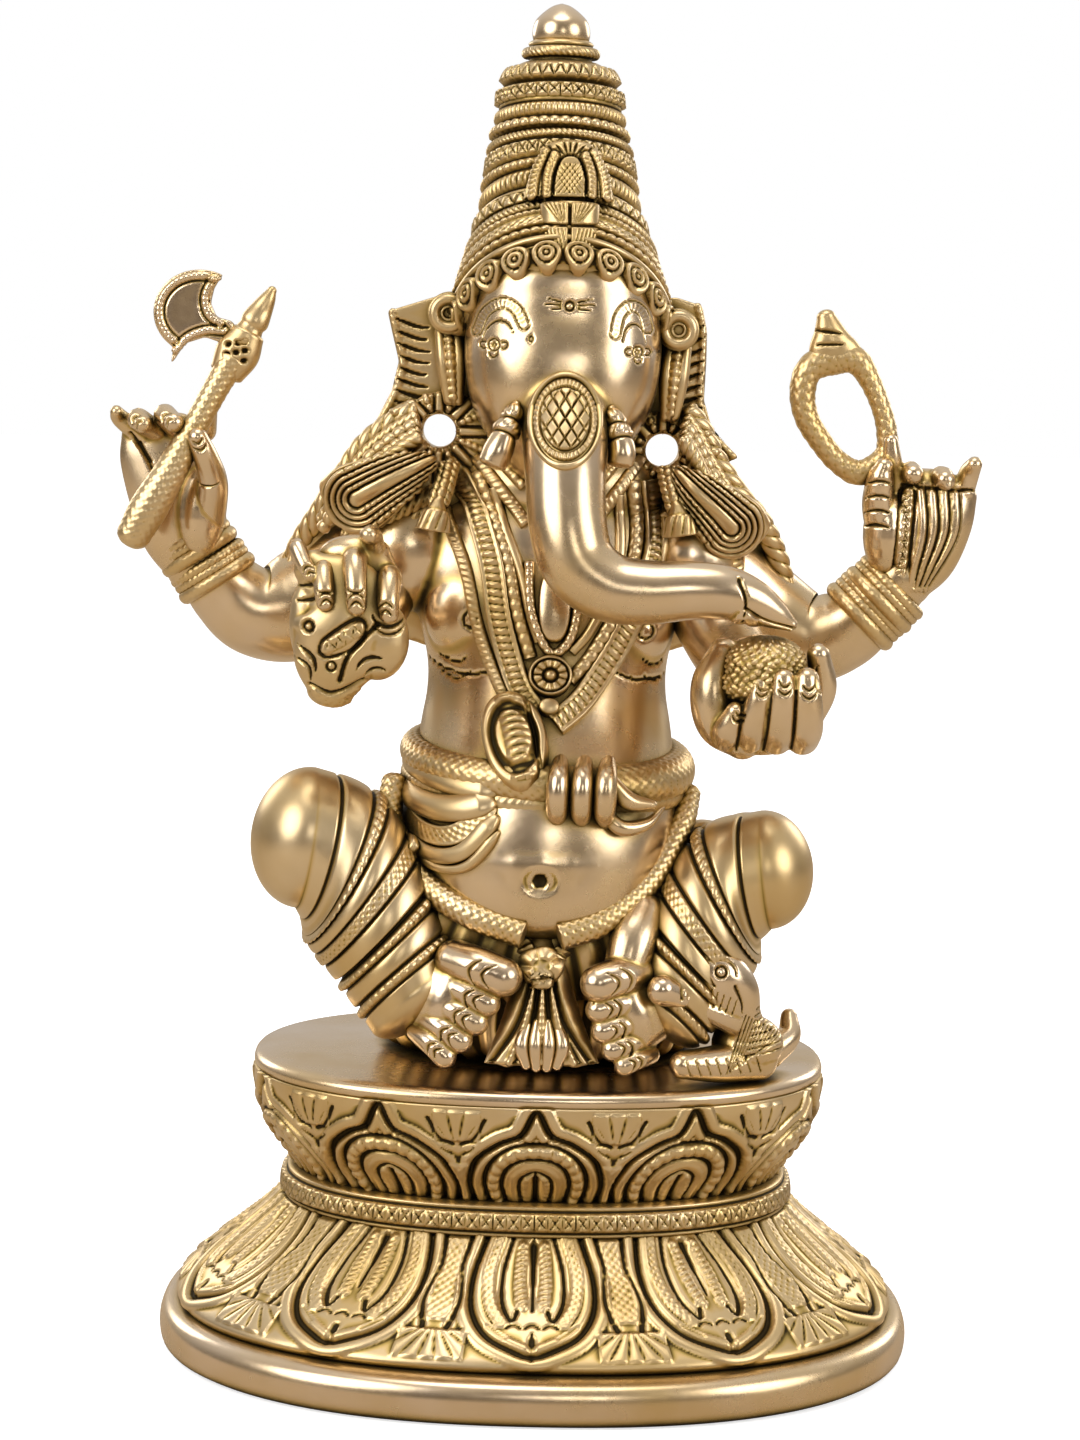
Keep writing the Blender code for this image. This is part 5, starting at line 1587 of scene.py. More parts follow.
def make_necklaces(ground):
    """The strands inside and outside the garland, and a shield on its own beaded string."""
    inside = [
        ([(-11.0, 133.6), (-9.2, 129.6), (-6.2, 121.4), (-4.6, 113.6), (-2.4, 106.6)], 1.1, beads(0.9, 0.6)),
        ([
            (12.0, 133), (12.8, 125), (11.4, 117), (9.2, 112), (6.0, 106.6), (3.2, 103.4)
        ], 1.1, beads(0.9, 0.6)),
        ([(-8.4, 131.6), (-6.8, 126), (-4.2, 119.4), (-2.6, 113), (-1.2, 109)], 0.8, ridge(0.7, 0.4)),
        ([(10.0, 131), (10.4, 122), (8.4, 115.6), (6.0, 110.6), (3.4, 107.6)], 0.8, ridge(0.7, 0.4)),
        ([(-13.0, 137.6), (-9.8, 134.0), (-6.4, 130.0), (-3.4, 126)], 1.0, ribs(0.9, 0.5, 1.0, 0.5)),
        ([(13.6, 136.6), (11.4, 133.4), (8.6, 129.6), (6.4, 126)], 1.0, ribs(0.9, 0.5, 1.0, 0.5)),
        ([(-10.0, 138.0), (-6.8, 134.6), (-3.8, 131.6)], 0.9, beads(0.8, 0.55)),
        ([(10.8, 137.4), (8.6, 134.4), (6.2, 131.6)], 0.9, beads(0.8, 0.55)),
        ([
            (-17.0, 133), (-15.6, 127.4), (-12.4, 119.6), (-10.4, 111.4), (-7.4, 103.6), (-4.0, 97.6)
        ], 1.0, ribs(0.9, 0.5, 1.0, 0.5))
    ]
    add_piece("necklaces", joined([
        ribbon(ground, line, half, pattern, lift=0.5) for line, half, pattern in inside
    ]), CHASED)
    bib = ribbon(
        ground, [(-3.0, 121), (-2.4, 113.4), (0.4, 107.6), (3.2, 109.6), (4.4, 115), (5.0, 120)], 0.8,
        beads(0.7, 0.5), lift=0.9
    )
    shield = patch(
        ground, (0.9, 114.6), (2.4, 5.6), lambda x, z, r: 0.8 * np.sqrt(hump(r * 0.99)), lift=0.8, power=2.4
    )
    add_piece("shield_necklace", joined([bib, shield]), POLISHED)


def flower_relief(x, z, r):
    """Relief of the pendant: eleven petals between a rim and a round middle."""
    turn = np.arctan2(z, x)
    return (
        0.5 * np.sqrt(hump((r - 0.9) / 0.1)) - 0.6 * hump((r - 0.78) / 0.05)
        + 0.5 * np.sqrt(np.abs(np.cos(5.5 * turn))) * (np.abs(r - 0.55) < 0.18)
        - 0.5 * hump((r - 0.34) / 0.05) + 0.6 * np.sqrt(hump(r / 0.24))
    )


def make_pendant(ground):
    """The flower pendant, and the small drop under it."""
    pendant = patch(ground, (0.5, 104.2), (3.2, 3.2), flower_relief, lift=1.7, sink=1.2, step=0.15)
    drop = patch(ground, (0.4, 99.6), (1.6, 1.3), lambda x, z, r: 0.5 * np.sqrt(hump(r * 0.99)), lift=1.4)
    add_casting("pendant", joined([pendant, drop]), CHASED)


# ---------------------------------------------------------------- arms, hands and what they hold

REAR_ARMS = {
    "right": [
        (-16, 2, 123, 8, 8), (-26, 5, 119.6, 8.2, 7.6), (-33, 6.2, 114.8, 8.6, 7.4),
        (-39.4, 5.6, 111.4, 8.2, 7.2), (-44.8, 4.2, 111.2, 7.0, 6.6), (-48.8, 2.8, 114.2, 6.0, 5.6),
        (-51.6, 1.4, 118, 5.2, 5), (-53.4, 0.6, 121, 4.9, 4.6)
    ],
    "left": [
        (16, 2, 123, 8, 8), (26, 5, 118, 8, 7.6), (33, 6.2, 112.4, 7.6, 7), (39.6, 5, 108.8, 6.9, 6.5),
        (44.8, 3.6, 110.2, 6.2, 5.9), (48.6, 2.4, 113.6, 5.5, 5.3), (51.2, 1.4, 116.4, 5.1, 5),
        (53.4, 0.8, 119, 4.9, 4.8)
    ]
}
FRONT_ARMS = {
    "right": [
        (-21, 0, 123, 6.4, 6), (-25.4, -3.5, 115.6, 5.8, 5.8), (-27.2, -9, 110.6, 5.2, 5.2),
        (-28, -18, 110.4, 4.6, 4.6)
    ],
    "left": [
        (20, 0, 122, 6.6, 6.2), (24, -4, 114, 6.2, 6), (26.8, -9.6, 108.4, 5.6, 5.6), (29.4, -18, 105, 5, 5)
    ]
}
BACKWARDS = np.array([0, 1, 0])
# The middle of each rear wrist's two bangles, the way they face, and their half width
BANGLES = {
    "right": ([(-51.0, 1.6, 117.2), (-53.6, 0.8, 121.2)], (-0.54, 0, 0.84), (5.4, 5.3)),
    "left": ([(48.2, 2.4, 113.3), (50.9, 1.6, 116.0)], (0.70, 0, 0.71), (5.6, 5.5)),
}


def make_arms():
    """Four smooth arms, with two bangles of three ropes each on each rear wrist."""
    for side, _ in SIDES:
        add_casting(f"rear_{side}_arm", sweep(REAR_ARMS[side], 0.5, 90, ends=(0.5, 0.8)), POLISHED)
        add_casting(f"front_{side}_arm", sweep(FRONT_ARMS[side], 0.5, 80, ends=(0.6, 0.9)), POLISHED)
        middles, facing, halves = BANGLES[side]
        facing = np.array(facing)
        across = np.array([facing[2], 0, -facing[0]])
        turns = np.linspace(0, TURN, 20, endpoint=False)
        bangles = []
        for middle, half in zip(middles, halves):
            for shift, thick in ((-1.15, 1.0), (0.35, 0.75), (1.5, 0.8)):
                centre = np.array(middle) + facing * shift
                loop = [(*(centre + across * half * math.cos(a) + BACKWARDS * (half - 0.5) * math.sin(a)),
                         thick, thick) for a in turns]
                pattern = scales(ALL_ROUND, 0.25, 1.0) if thick > 0.9 else ribs(ALL_ROUND, 0.2, 0.9, 0.6)
                bangles.append(sweep(loop, 0.2, 30, clad(pattern), facing, endless=True))
        add_casting(f"rear_{side}_bracelets", joined(bangles), CHASED)


def make_axe_shaft():
    """The axe's scaled handle through the fist, its pierced hub and its ringed point."""
    handle = sweep([
        (-61.6, -9.8, 123.4, 2.3, 2.0), (-59.4, -9.8, 127.4, 2.6, 2.1), (-56.4, -9.4, 132.6, 2.2, 1.9),
        (-52.8, -8.6, 139.4, 1.7, 1.6), (-49.6, -7.6, 145.6, 1.7, 1.6), (-47.4, -7.0, 149.4, 2.0, 1.8)
    ], 0.2, 60, clad(scales(ALL_ROUND, 0.35, 1.25)), ends=(1, 0.3))
    hub = sweep([
        (-48.4, -6.8, 147.4, 2.6, 2.0), (-46.8, -6.6, 150.4, 3.3, 2.3), (-45.4, -6.4, 153.2, 2.6, 2.0)
    ], 0.2, 90, ends=(0.4, 0.4))
    spots = [
        (0, 0), (1, 0.2), (-1, -0.2), (0.2, 1), (-0.2, -1), (0.9, 1.1), (-0.9, -1.1), (-0.9, 0.9),
        (0.9, -0.9)
    ]
    holes = [circle((-46.9 + 1.4 * u, 150.5 + 1.4 * w), 0.12, groove(0.5, 0.9), 7) for u, w in spots]
    hub = carved(hub, holes)
    point = sweep([
        (-45.8, -6.4, 152.4, 2.5, 2.0), (-44.9, -6.2, 154.2, 1.9, 1.6), (-44.3, -6.2, 155.2, 2.1, 1.7),
        (-43.4, -6, 156.8, 1.7, 1.4), (-42.5, -6, 158.4, 1.2, 1.1), (-41.9, -6, 159.6, 0.7, 0.7)
    ], 0.15, 48)
    add_casting("axe_shaft", joined([handle, hub, point]), CHASED)


def make_axe_blade():
    """The axe's crescent blade, with a milled border on both faces."""
    outer = arc((-52.4, 156.2), (6.9, 6.3), 62, 235, 24)
    horns = [
        (-56.6, 148.6), (-54.6, 151.6), (-51.6, 152.6), (-48.6, 151.6), (-47.0, 153.2), (-47.6, 155.0),
        (-50.0, 155.6), (-50.9, 157.6), (-50.4, 159.8), (-49.2, 161.8)
    ]
    plate = fused([prism(np.vstack([outer, horns]), -7.4, -5.4)], FINE_VOXEL, 3)
    rim = arc((-52.4, 156.2), (6.0, 5.4), 64, 232, 22)
    hollow = [(-56.0, 150.6), (-54.0, 152.6), (-51.4, 153.6), (-48.8, 153.6)]
    back = [(-49.4, 154.6), (-51.2, 156.2), (-51.6, 158.6), (-50.6, 161.0)]
    strokes = [(line, edged(ribs(0.5, 0.35, 0.75), 0.75, groove(0.22, 0.3)), 1.5)
               for line in (rim, hollow, back)]
    add_casting("axe_blade", carved(carved(plate, strokes), strokes, facing=1), POLISHED)


def finger(points):
    """A finger through stations of x, y, z and radius, a little deeper than wide."""
    return sweep([(x, y, z, r, r * 1.05) for x, y, z, r in points], 0.4, 20)


def make_rear_right_hand():
    """The hand closed round the axe."""
    palm = [sweep([
        (-53.4, 0.8, 118, 4.6, 4.3), (-55.4, -0.6, 123.4, 6.4, 4.2), (-56.6, -1.4, 129.4, 7.0, 3.4),
        (-58.4, -1.6, 135.4, 6.6, 2.4), (-59.4, -1.6, 139, 5.4, 1.8)
    ], 0.6, 40), blob((-52.4, -3.2, 126.4), (3.6, 3.6, 7.0))]
    fingers = [
        [(-60.6, -2, 137, 1.5), (-64.4, -2.6, 140.0, 1.4), (-65.0, -4.2, 141.2, 1.0)],
        [(-58.8, -2.2, 138, 1.6), (-61.6, -5.0, 140.2, 1.7), (-60.6, -7.6, 139.6, 1.4)],
        [(-55.8, -2.6, 138.6, 1.7), (-57.6, -6.0, 141.0, 1.7), (-55.8, -9.6, 140.0, 1.5)],
        [(-52.0, -1.8, 138.6, 1.7), (-51.4, -5.0, 143.6, 1.6), (-50.8, -7.6, 142.8, 1.3)],
        [
            (-51.0, -3.4, 125.6, 2.4), (-50.2, -6.8, 131, 2.2), (-51.0, -9.4, 134.8, 1.9),
            (-52.2, -10.8, 138.0, 1.5)
        ]
    ]
    marks = (
        toe_marks((-52.4, 138.6), (-51.0, 134.8), 1.5) + toe_marks((-55.6, 139.4), (-58, 141.6), 1.4)
        + toe_marks((-60.4, 139.0), (-61.8, 140.4), 1.3)
        + [
            (arc((-50.8, 131.6), (1.8, 1.0), 200, 340), lens(0.3, 0.4)),
            ([(-60, 134), (-63, 138)], groove(0.4, 0.5)),
            ([(-58.6, 130.6), (-61.6, 136.6)], groove(0.4, 0.5))
        ]
    )
    hand = carved(fused(palm + [finger(f) for f in fingers], FINE_VOXEL, 3), marks)
    add_casting("rear_right_hand", hand, POLISHED)


def make_noose():
    """A scaly snake bent into a loop, with its flat head at the top."""
    loop = [
        (41.9, -1.5, 151.6, 2.4, 1.7), (38.3, -1.5, 149.8, 1.9, 1.7), (37.3, -1.5, 146.4, 1.75, 1.7),
        (38.0, -1.5, 142.6, 1.6, 1.6), (40.2, -1.5, 139.1, 1.5, 1.5), (43.0, -1.5, 136.0, 1.5, 1.5),
        (46.4, -1.5, 134.5, 1.7, 1.6), (49.9, -1.5, 137.0, 1.5, 1.5), (50.1, -1.5, 140.6, 1.35, 1.4),
        (49.0, -1.5, 144.6, 1.25, 1.4), (47.0, -1.5, 148.8, 1.45, 1.5), (45.0, -1.5, 151.2, 1.9, 1.6)
    ]
    snake = sweep(loop, 0.16, 84, clad(scales(ALL_ROUND, 0.32, 1.7)), endless=True)
    head = sweep([
        (42.3, -1.6, 150.9, 4.3, 1.7), (41.4, -1.7, 153.4, 3.5, 1.8), (40.9, -1.7, 155.6, 2.3, 1.6),
        (40.4, -1.7, 157.6, 1.4, 1.2)
    ], 0.2, 60, ends=(0.4, 0.9))
    head = carved(head, [
        ([(38.6, 155.6), (42.8, 155.2)], lens(0.36, 0.6)), ([(38.8, 153.4), (43.4, 153.6)], lens(0.32, 0.5))
    ])
    add_casting("noose", joined([snake, head]), CHASED)


def make_rear_left_hand():
    """The open hand that holds up the noose, its fingers' creases running down the palm."""
    palm = [
        sweep([
            (53.6, 0.8, 118.4, 4.5, 4.3), (55.6, 0, 122.4, 6.0, 4.2), (57.0, -0.4, 127.6, 6.6, 4.0),
            (57.8, -0.4, 132, 6.4, 3.2)
        ], 0.6, 40),
        blob((50.4, -1.6, 125.6), (3.4, 3.6, 6.6))
    ]
    fingers = [
        [(54.6, -1.0, 130, 1.9), (53.8, -2.2, 134.4, 1.8), (54.0, -4.4, 134.6, 1.5)],
        [(58.2, -1.0, 130.6, 1.9), (58.4, -2.2, 134.0, 1.8), (58.8, -4.4, 133.8, 1.5)],
        [(61.6, -0.8, 130.6, 1.7), (62.6, -1.6, 134.6, 1.6), (63.2, -3.2, 136.2, 1.2)],
        [(50.2, -1.6, 125, 2.6), (49.0, -2.8, 130, 2.4), (49.2, -3.8, 134.0, 2.0), (49.6, -4.2, 135.6, 1.4)],
        [(52.0, -0.6, 131, 1.5), (51.0, -2.4, 136.2, 1.5), (50.6, -3.0, 139.4, 1.1)],
    ]
    marks = [(
        [(53.4, 131.6), (53.0, 125), (52.6, 118.6)], edged(crosses(0.8, 0.5, 1.4), 1.1, groove(0.28, 0.6)), 2
    )]
    for k in range(4):
        marks.append(([(56.0 + 1.75 * k, 132.2), (56.4 + 1.6 * k, 125.6), (54.8 + 0.8 * k, 117.8)],
                      rows((0, groove(0.22, 0.4)), (0.75, ridge(0.5, 0.35))), 2))
    for k in range(4):
        marks.append((arc((48.9, 126 + 2.2 * k), (2.2, 0.9), 20, 160), lens(0.35, 0.5)))
    marks.append(([(52.6, 132.8), (63.4, 132.2)], groove(0.35, 0.6)))
    hand = carved(fused(palm + [finger(f) for f in fingers], FINE_VOXEL, 3), marks)
    add_casting("rear_left_hand", hand, POLISHED)


def make_broken_tusk():
    """The broken tusk as a flat carved ornament, with an eye, curls and a scaled edge."""
    body = fused([
        sweep([
            (-31.2, -25.4, 102.4, 3.4, 2.2), (-30.6, -26.4, 106.4, 6.0, 3.4),
            (-29.2, -26.8, 111.4, 7.4, 3.8), (-30.0, -26.4, 116.4, 6.6, 3.2), (-34.4, -25.6, 120.6, 2.6, 2.0)
        ], 0.5, 60),
        blob((-24.4, -26.6, 110.4), (4.6, 3.2, 6.0)), blob((-34.4, -25.8, 112.6), (2.8, 2.4, 6.6))
    ], 0.26, 4)
    marks = [
        circle((-34.3, 112.3), 0.75, groove(0.35, 0.8)), circle((-30.8, 106.6), 0.7, groove(0.28, 0.5)),
        ([
            (-32.6, 108.6), (-31.8, 110.6), (-27.4, 113.6), (-25.8, 112.4), (-27.0, 109.6), (-31.2, 107.9),
            (-32.6, 108.6)
        ], groove(0.35, 0.6)),
        ([(-31.6, 109.4), (-26.8, 112.2)], zigzag(1.0, 0.4, 1.4), 1.5),
        ([(-35.8, 109.6), (-33.6, 107.8), (-33.0, 105.4)], lens(0.5, 0.7)),
        ([(-36.2, 107.8), (-34.2, 106.4), (-33.8, 104.2)], lens(0.4, 0.6)),
        ([(-29.6, 104.4), (-28.2, 108.4), (-24.2, 112.8)], groove(0.45, 0.8)),
        (arc((-24.6, 105.6), (2.6, 2.4), 60, 170), lens(0.45, 0.6)),
        (arc((-24.2, 104.4), (2.0, 2.0), 50, 150), lens(0.35, 0.5)),
        ([(-34.0, 103.8), (-30.6, 102.6), (-26.2, 104.6)], groove(0.4, 0.7)),
        ([(-33.0, 102.4), (-30.4, 101.2), (-27.0, 102.6)], scales(0.9, 0.4, 1.0), 1.5),
        (arc((-22.6, 114.6), (2.4, 2.0), 190, 350), lens(0.4, 0.6)),
        (arc((-22.6, 113.2), (2.2, 1.8), 190, 350), lens(0.3, 0.5)),
        ([(-36.0, 117.8), (-33.6, 118.4), (-32.4, 120.6)], lens(0.4, 0.5)),
        ([(-36.2, 115.8), (-33.6, 116.2), (-31.8, 118.2)], lens(0.4, 0.5))
    ]
    add_casting("broken_tusk", carved(body, marks), CHASED)


def make_front_right_hand():
    """The hand that pinches the broken tusk from above."""
    palm = [sweep([
        (-27.6, -21.6, 112, 5.4, 3.4), (-27.8, -22.6, 118.6, 6.2, 3.4), (-28, -23.6, 122.4, 5.2, 2.8)
    ], 0.5, 36)]
    fingers = [
        [
            (-35.0, -24, 119.4, 1.3), (-36.2, -26, 123.4, 1.3), (-35.0, -28.0, 121.2, 1.2),
            (-34.0, -29.0, 119.6, 1.0)
        ],
        [
            (-31.4, -23, 118.6, 1.6), (-32.2, -27.0, 120.2, 1.6), (-32.0, -29.6, 117.8, 1.5),
            (-31.8, -30.0, 115.8, 1.3)
        ],
        [
            (-27.6, -23, 120.4, 1.8), (-27.8, -27.6, 121.6, 1.8), (-27.4, -30.4, 118.0, 1.65),
            (-27.2, -30.6, 115.4, 1.45)
        ],
        [
            (-23.0, -23, 118.6, 1.7), (-22.8, -27.0, 119.2, 1.75), (-22.8, -29.6, 116.4, 1.6),
            (-22.6, -29.8, 114.2, 1.4)
        ],
        [(-25.0, -23, 121, 1.6), (-25.4, -25.8, 125.0, 1.5), (-25.8, -28.2, 125.4, 1.3)]
    ]
    marks = (
        toe_marks((-31.4, 114.6), (-31.6, 118), 1.6) + toe_marks((-27.2, 114.2), (-27.3, 118), 1.8)
        + toe_marks((-23.2, 113.2), (-23.0, 117), 1.6) + toe_marks((-33.6, 119), (-35, 122), 1.2)
        + [
            (arc((-27.4, 118.2), (1.5, 0.7), 200, 340), lens(0.3, 0.5)),
            (arc((-31.6, 117.8), (1.4, 0.6), 200, 340), lens(0.3, 0.5))
        ]
    )
    hand = carved(fused(palm + [finger(f) for f in fingers], FINE_VOXEL, 3), marks)
    add_casting("front_right_hand", hand, POLISHED)


def grains(s, around, turn):
    """Relief of a ball pressed from round grains."""
    return 0.45 * np.sqrt(np.clip(
        np.sin(4.2 * s + 1.0 * np.sin(1.7 * around)) * np.sin(3.9 * around + 1.0 * np.sin(2.1 * s)), 0, 1
    ))


def make_sweet_ball():
    """The ball of sweets."""
    ball = sweep(
        [(31.4, -27, 105.0, 6.2, 5.4), (31.4, -27, 108.0, 5.6, 5.0)], 0.22, 130, grains, ends=(0.6, 0.85)
    )
    add_casting("sweet_ball", ball, CHASED)


def make_front_left_hand():
    """The hand that cups the sweets under the trunk."""
    shapes = [
        sweep([
            (25.4, -23.6, 109.2, 2.2, 2.6), (24.0, -24.6, 104.6, 3.2, 4.0), (25.0, -25, 99.4, 3.4, 4.0),
            (28.4, -25.6, 96.8, 2.8, 3.2)
        ], 0.5, 30),
        sweep([(30, -22.4, 108, 6, 3.8), (31, -24.2, 102, 7.4, 4.4), (31.2, -25, 98.2, 6.6, 3.6)], 0.5, 40),
        sweep([
            (38.2, -22.6, 99.6, 1.9, 2), (39.8, -24.2, 104.4, 2.1, 2.1), (39.0, -25.4, 109.4, 1.7, 1.7)
        ], 0.4, 24)
    ]
    fingers = [
        [(26.0, -26.6, 97.4, 2.1), (26.0, -29.4, 98.8, 2.0), (27.0, -30.6, 101.6, 1.4)],
        [
            (29.4, -27.2, 97.6, 2.3), (29.6, -30.0, 99.6, 2.2), (30.2, -31.2, 103.4, 1.8),
            (30.4, -31.0, 105.6, 1.4)
        ],
        [
            (33.2, -27.2, 97.6, 2.5), (33.4, -30.2, 99.6, 2.4), (33.6, -31.6, 104.0, 2.1),
            (33.6, -31.4, 106.4, 1.7)
        ],
        [
            (37.0, -26.8, 97.6, 2.5), (37.2, -29.8, 99.6, 2.5), (37.1, -31.2, 103.8, 2.2),
            (37.0, -31.0, 106.4, 1.8)
        ]
    ]
    marks = (
        toe_marks((30.6, 106.4), (30.6, 103), 1.3) + toe_marks((33.8, 107.2), (33.8, 103), 1.5)
        + toe_marks((37.2, 107.0), (37.3, 103), 1.7) + toe_marks((28.0, 102.4), (26.8, 99.6), 1.3)
        + [
            ([(28.0, 103.6), (27.4, 95.6)], groove(0.2, 0.35)),
            ([(31.9, 105), (31.3, 95.6)], groove(0.2, 0.35)),
            ([(35.4, 105), (35.3, 95.6)], groove(0.2, 0.35)),
            (arc((39.6, 106.4), (1.2, 2.0), 120, 260), lens(0.3, 0.4))
        ]
    )
    hand = carved(fused(shapes + [finger(f) for f in fingers], FINE_VOXEL, 3), marks)
    add_casting("front_left_hand", hand, POLISHED)


# ---------------------------------------------------------------- mouse

def make_mouse():
    """The mouse sitting up beside the left foot, its fur engraved, with a sweet in its paw."""
    shapes = [
        blob((31.0, -17.8, 50.4), (5.4, 4.8, 4.4)),
        sweep([
            (22.5, -22.8, 66.4, 0.9, 1.0), (24.0, -22.4, 64.2, 2.5, 2.3), (26.2, -21.8, 61.4, 4.2, 3.6),
            (28.2, -20.8, 58.2, 4.3, 3.6), (29.8, -19.6, 54.4, 3.2, 3.2), (31.4, -18.6, 50.6, 3.6, 3.6)
        ], 0.4, 44),
        sweep([
            (28.8, -21.4, 54.8, 2.4, 2.2), (24.6, -23.2, 56.6, 1.8, 1.8), (20.8, -25.0, 58.8, 1.5, 1.5)
        ], 0.4, 30),
        sweep([(20.4, -25.2, 58.9, 1.9, 1.9), (17.8, -26.6, 60.0, 2.3, 2.2)], 0.4, 30),
        sweep([
            (32.6, -18.4, 48.4, 3.4, 3), (27, -21.2, 48.1, 2.9, 2.7), (21.2, -24.2, 48.4, 2.1, 2.0)
        ], 0.4, 36),
        sweep([
            (34.4, -14.4, 48.4, 2.6, 2.6), (37.4, -12.4, 50.4, 1.9, 1.9), (37.6, -10.6, 53.0, 1.3, 1.3)
        ], 0.4, 30)
    ]
    marks = [
        circle((26.4, 62.6), 0.85, groove(0.26, 0.5)), circle((26.4, 62.6), 0.3, ridge(0.4, 0.2), 7),
        (arc((26.4, 62.2), (2.3, 2.2), -10, 120), lens(0.3, 0.45)),
        ([(22.4, 65.4), (23.6, 62.8), (25.4, 60.4)], groove(0.26, 0.5)),
        ([(28.6, 60.4), (29.6, 57.8), (29.8, 55.4)], wedge(0.35, 0.5)),
        ([(24.2, 65.2), (25.4, 64.4)], groove(0.14, 0.25)),
        ([(25.2, 65.4), (24.6, 64.2)], groove(0.14, 0.25))
    ]
    for k in range(12):
        marks.append(([
            (27.8 + 0.45 * k, 47.0 + 0.3 * k), (30.4 + 0.496 * k, 55.8 - 0.32 * k)
        ], groove(0.17, 0.28)))
    for k in range(8):
        marks.append(([(21.6 + 1.5 * k, 49.4), (22.4 + 1.5 * k, 47.0)], groove(0.15, 0.22)))
        marks.append(([
            (22.2 + 0.95 * k, 61.2 - 0.42 * k), (21.6 + 0.95 * k, 58.8 - 0.4 * k)
        ], groove(0.15, 0.22)))
        marks.append(([
            (30.6 + 0.2 * k, 49.5 + 1.0 * k), (36.0 - 0.3 * k, 50.4 + 1.0 * k)
        ], groove(0.16, 0.25)))
    marks.append(([(20.8, 58.8), (20.8, 62.6)], groove(0.35, 0.5)))
    add_casting("mouse", carved(fused(shapes, 0.2, 3), marks), POLISHED)


# ---------------------------------------------------------------- stage

def make_floor():
    """Pale paper that is bright to the eye and dull in the metal's reflections."""
    bpy.ops.mesh.primitive_plane_add(size=6, location=(0, 0, -0.0002))
    floor = bpy.context.object
    floor.name = "floor"
    paper = bpy.data.materials.new("paper")
    paper.use_nodes = True
    tree = paper.node_tree
    shader = tree.nodes["Principled BSDF"]
    shader.inputs["Roughness"].default_value = 0.9
    shader.inputs["Emission Color"].default_value = (1, 1, 1, 1)
    shader.inputs["Emission Strength"].default_value = 0.62
    fibre = new_node(tree, "TexNoise", {"Scale": 300.0})
    tint = new_node(tree, "ValToRGB")
    fill_ramp(tint, [(0.0, (0.93, 0.93, 0.93, 1)), (1.0, (0.96, 0.96, 0.96, 1))])
    dim = new_node(tree, "BsdfDiffuse", {"Color": (0.50, 0.43, 0.34, 1)})
    path = new_node(tree, "LightPath")
    pick = new_node(tree, "MixShader")
    link(
        tree,
        (fibre, "Fac", tint, "Fac"),
        (tint, "Color", shader, "Base Color"),
        (path, "Is Glossy Ray", pick, "Fac"),
        (shader, "BSDF", pick, 1),
        (dim, "BSDF", pick, 2),
        (pick, "Shader", tree.nodes["Material Output"], "Surface"),
    )
    floor.data.materials.append(paper)


def make_world():
    """A white backdrop, and for the metal a room that brightens upwards and towards the back."""
    world = bpy.data.worlds.new("studio")
    bpy.context.scene.world = world
    world.use_nodes = True
    tree = world.node_tree
    back = tree.nodes["Background"]
    back.inputs["Color"].default_value = (1, 1, 1, 1)
    back.inputs["Strength"].default_value = 1.0
    room = new_node(tree, "Background", {"Strength": 0.82})
    way = new_node(tree, "TexCoord")
    parts = new_node(tree, "SeparateXYZ")
    sky = new_node(tree, "ValToRGB")
    fill_ramp(sky, [
        (0.0, (0.10, 0.07, 0.045, 1)), (0.34, (0.13, 0.10, 0.07, 1)), (0.50, (0.25, 0.22, 0.185, 1)),
        (0.64, (0.62, 0.59, 0.56, 1)), (0.85, (0.95, 0.94, 0.93, 1))
    ])
    rise = new_node(tree, "Math", {1: 0.34, 2: 0.47}, "MULTIPLY_ADD")
    deep = new_node(tree, "Math", {1: 0.17}, "MULTIPLY_ADD")
    seen = new_node(tree, "LightPath")
    choice = new_node(tree, "MixShader")
    link(
        tree,
        (way, "Generated", parts, "Vector"),
        (parts, "Z", rise, 0),
        (parts, "Y", deep, 0),
        (rise, "Value", deep, 2),
        (deep, "Value", sky, "Fac"),
        (sky, "Color", room, "Color"),
        (seen, "Is Camera Ray", choice, "Fac"),
        (room, "Background", choice, 1),
        (back, "Background", choice, 2),
        (choice, "Shader", tree.nodes["World Output"], "Surface"),
    )


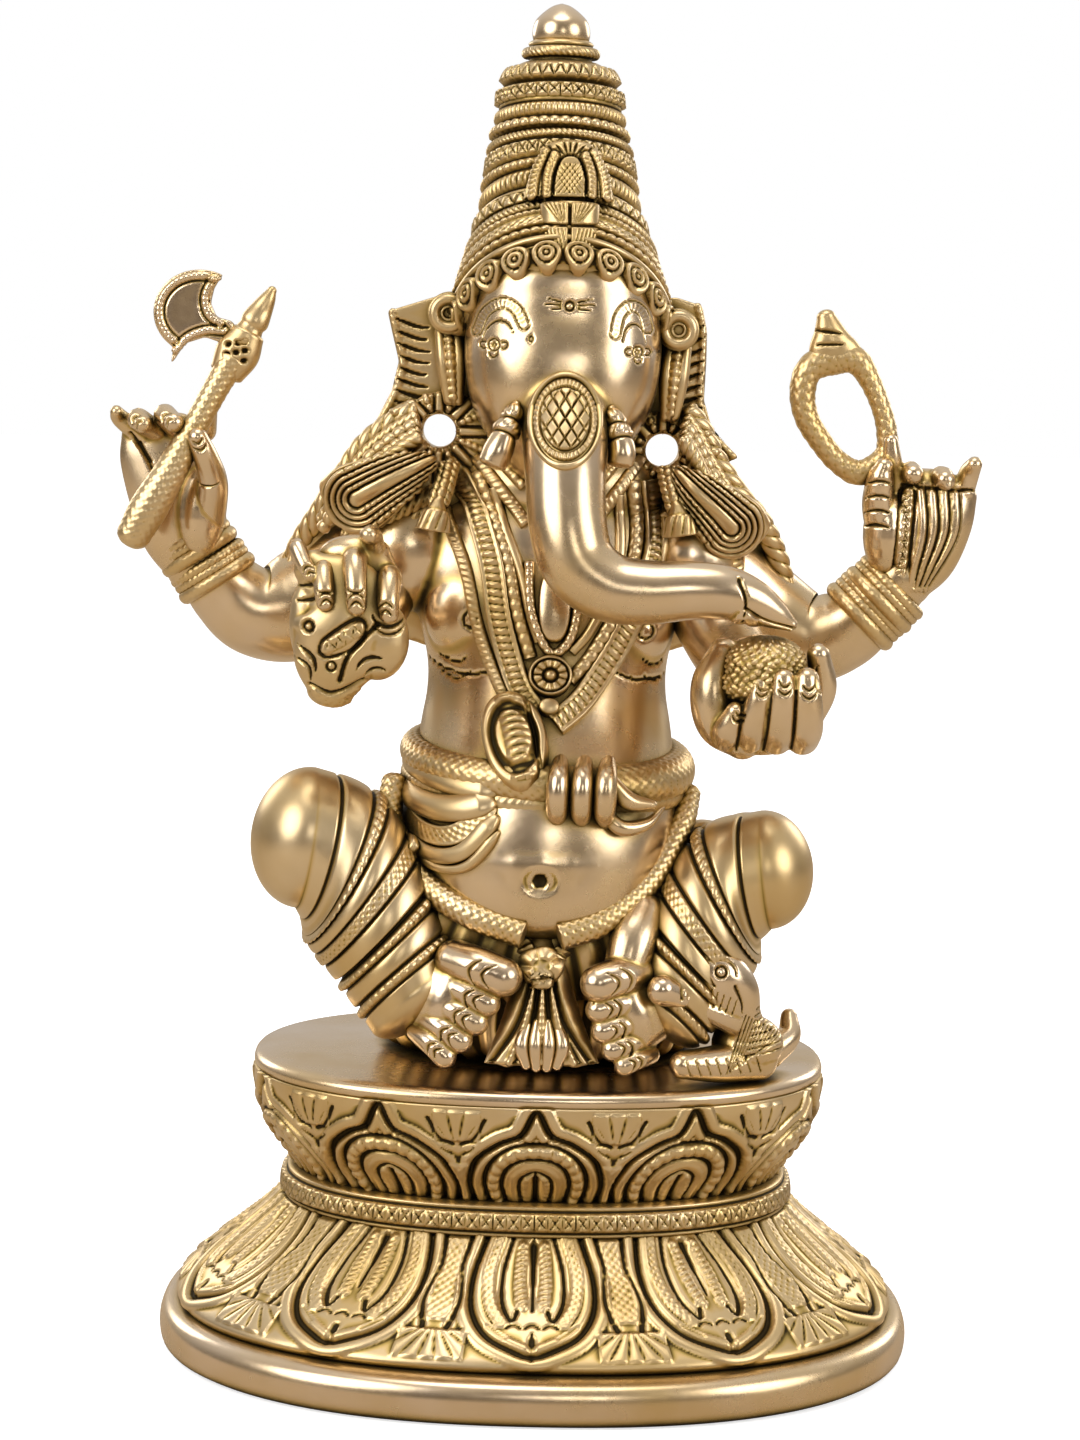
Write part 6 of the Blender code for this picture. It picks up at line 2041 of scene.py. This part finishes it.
def make_lamps():
    """Soft round lamps that all look at the middle of the idol."""
    for name, place, size, power in LAMPS:
        light = bpy.data.lights.new(name, "AREA")
        light.shape = "DISK"
        light.size = size
        light.energy = power
        lamp = bpy.data.objects.new(name, light)
        lamp.location = place
        lamp.rotation_euler = (Vector(LAMP_AIM) - lamp.location).to_track_quat("-Z", "Y").to_euler()
        bpy.context.scene.collection.objects.link(lamp)


def make_camera():
    """A long lens in front, level with the face, that looks a little down and is rolled about a degree."""
    data = bpy.data.cameras.new("camera")
    data.lens = CAMERA_LENS
    data.sensor_width = 36.0
    data.clip_start = 0.05
    camera = bpy.data.objects.new("camera", data)
    camera.location = CAMERA_PLACE
    aim = Vector(CAMERA_AIM) - camera.location
    camera.rotation_mode = "QUATERNION"
    roll = Quaternion((0, 0, 1), math.radians(CAMERA_ROLL))
    camera.rotation_quaternion = aim.to_track_quat("-Z", "Y") @ roll
    bpy.context.scene.collection.objects.link(camera)
    bpy.context.scene.camera = camera
    bpy.context.scene.view_settings.view_transform = "Standard"


for slot, values in BRASS.items():
    make_brass(slot, *values)
make_pedestal()
make_crown()
lap_shape = make_lap()
torso_shape = make_torso()
shin_shapes = make_legs()
make_feet()
body_ground = ground_of(torso_shape, lap_shape, shin_shapes["right"], shin_shapes["left"])
make_hem()
make_belt()
make_sash(body_ground)
make_hood(body_ground)
make_knot()
make_pleat()
skull_shape = make_skull()
trunk_shape = make_trunk()
make_medallion(skull_shape, trunk_shape)
make_tusks()
for side_name, side_way in SIDES:
    make_ear(side_name, side_way)
    make_rosette(side_name, side_way)
    make_shoulder_fold(side_name, side_way)
make_crest()
make_shawl()
for side_name, side_way in SIDES:
    make_epaulette(side_name, side_way)
    make_shoulder_cords(side_name, side_way)
    make_flounce(side_name, side_way)
    make_tassel(side_name, side_way)
make_garland(body_ground)
make_necklaces(body_ground)
make_pendant(body_ground)
make_arms()
make_axe_shaft()
make_axe_blade()
make_rear_right_hand()
make_noose()
make_rear_left_hand()
make_broken_tusk()
make_front_right_hand()
make_sweet_ball()
make_front_left_hand()
make_mouse()
make_floor()
make_world()
make_lamps()
make_camera()
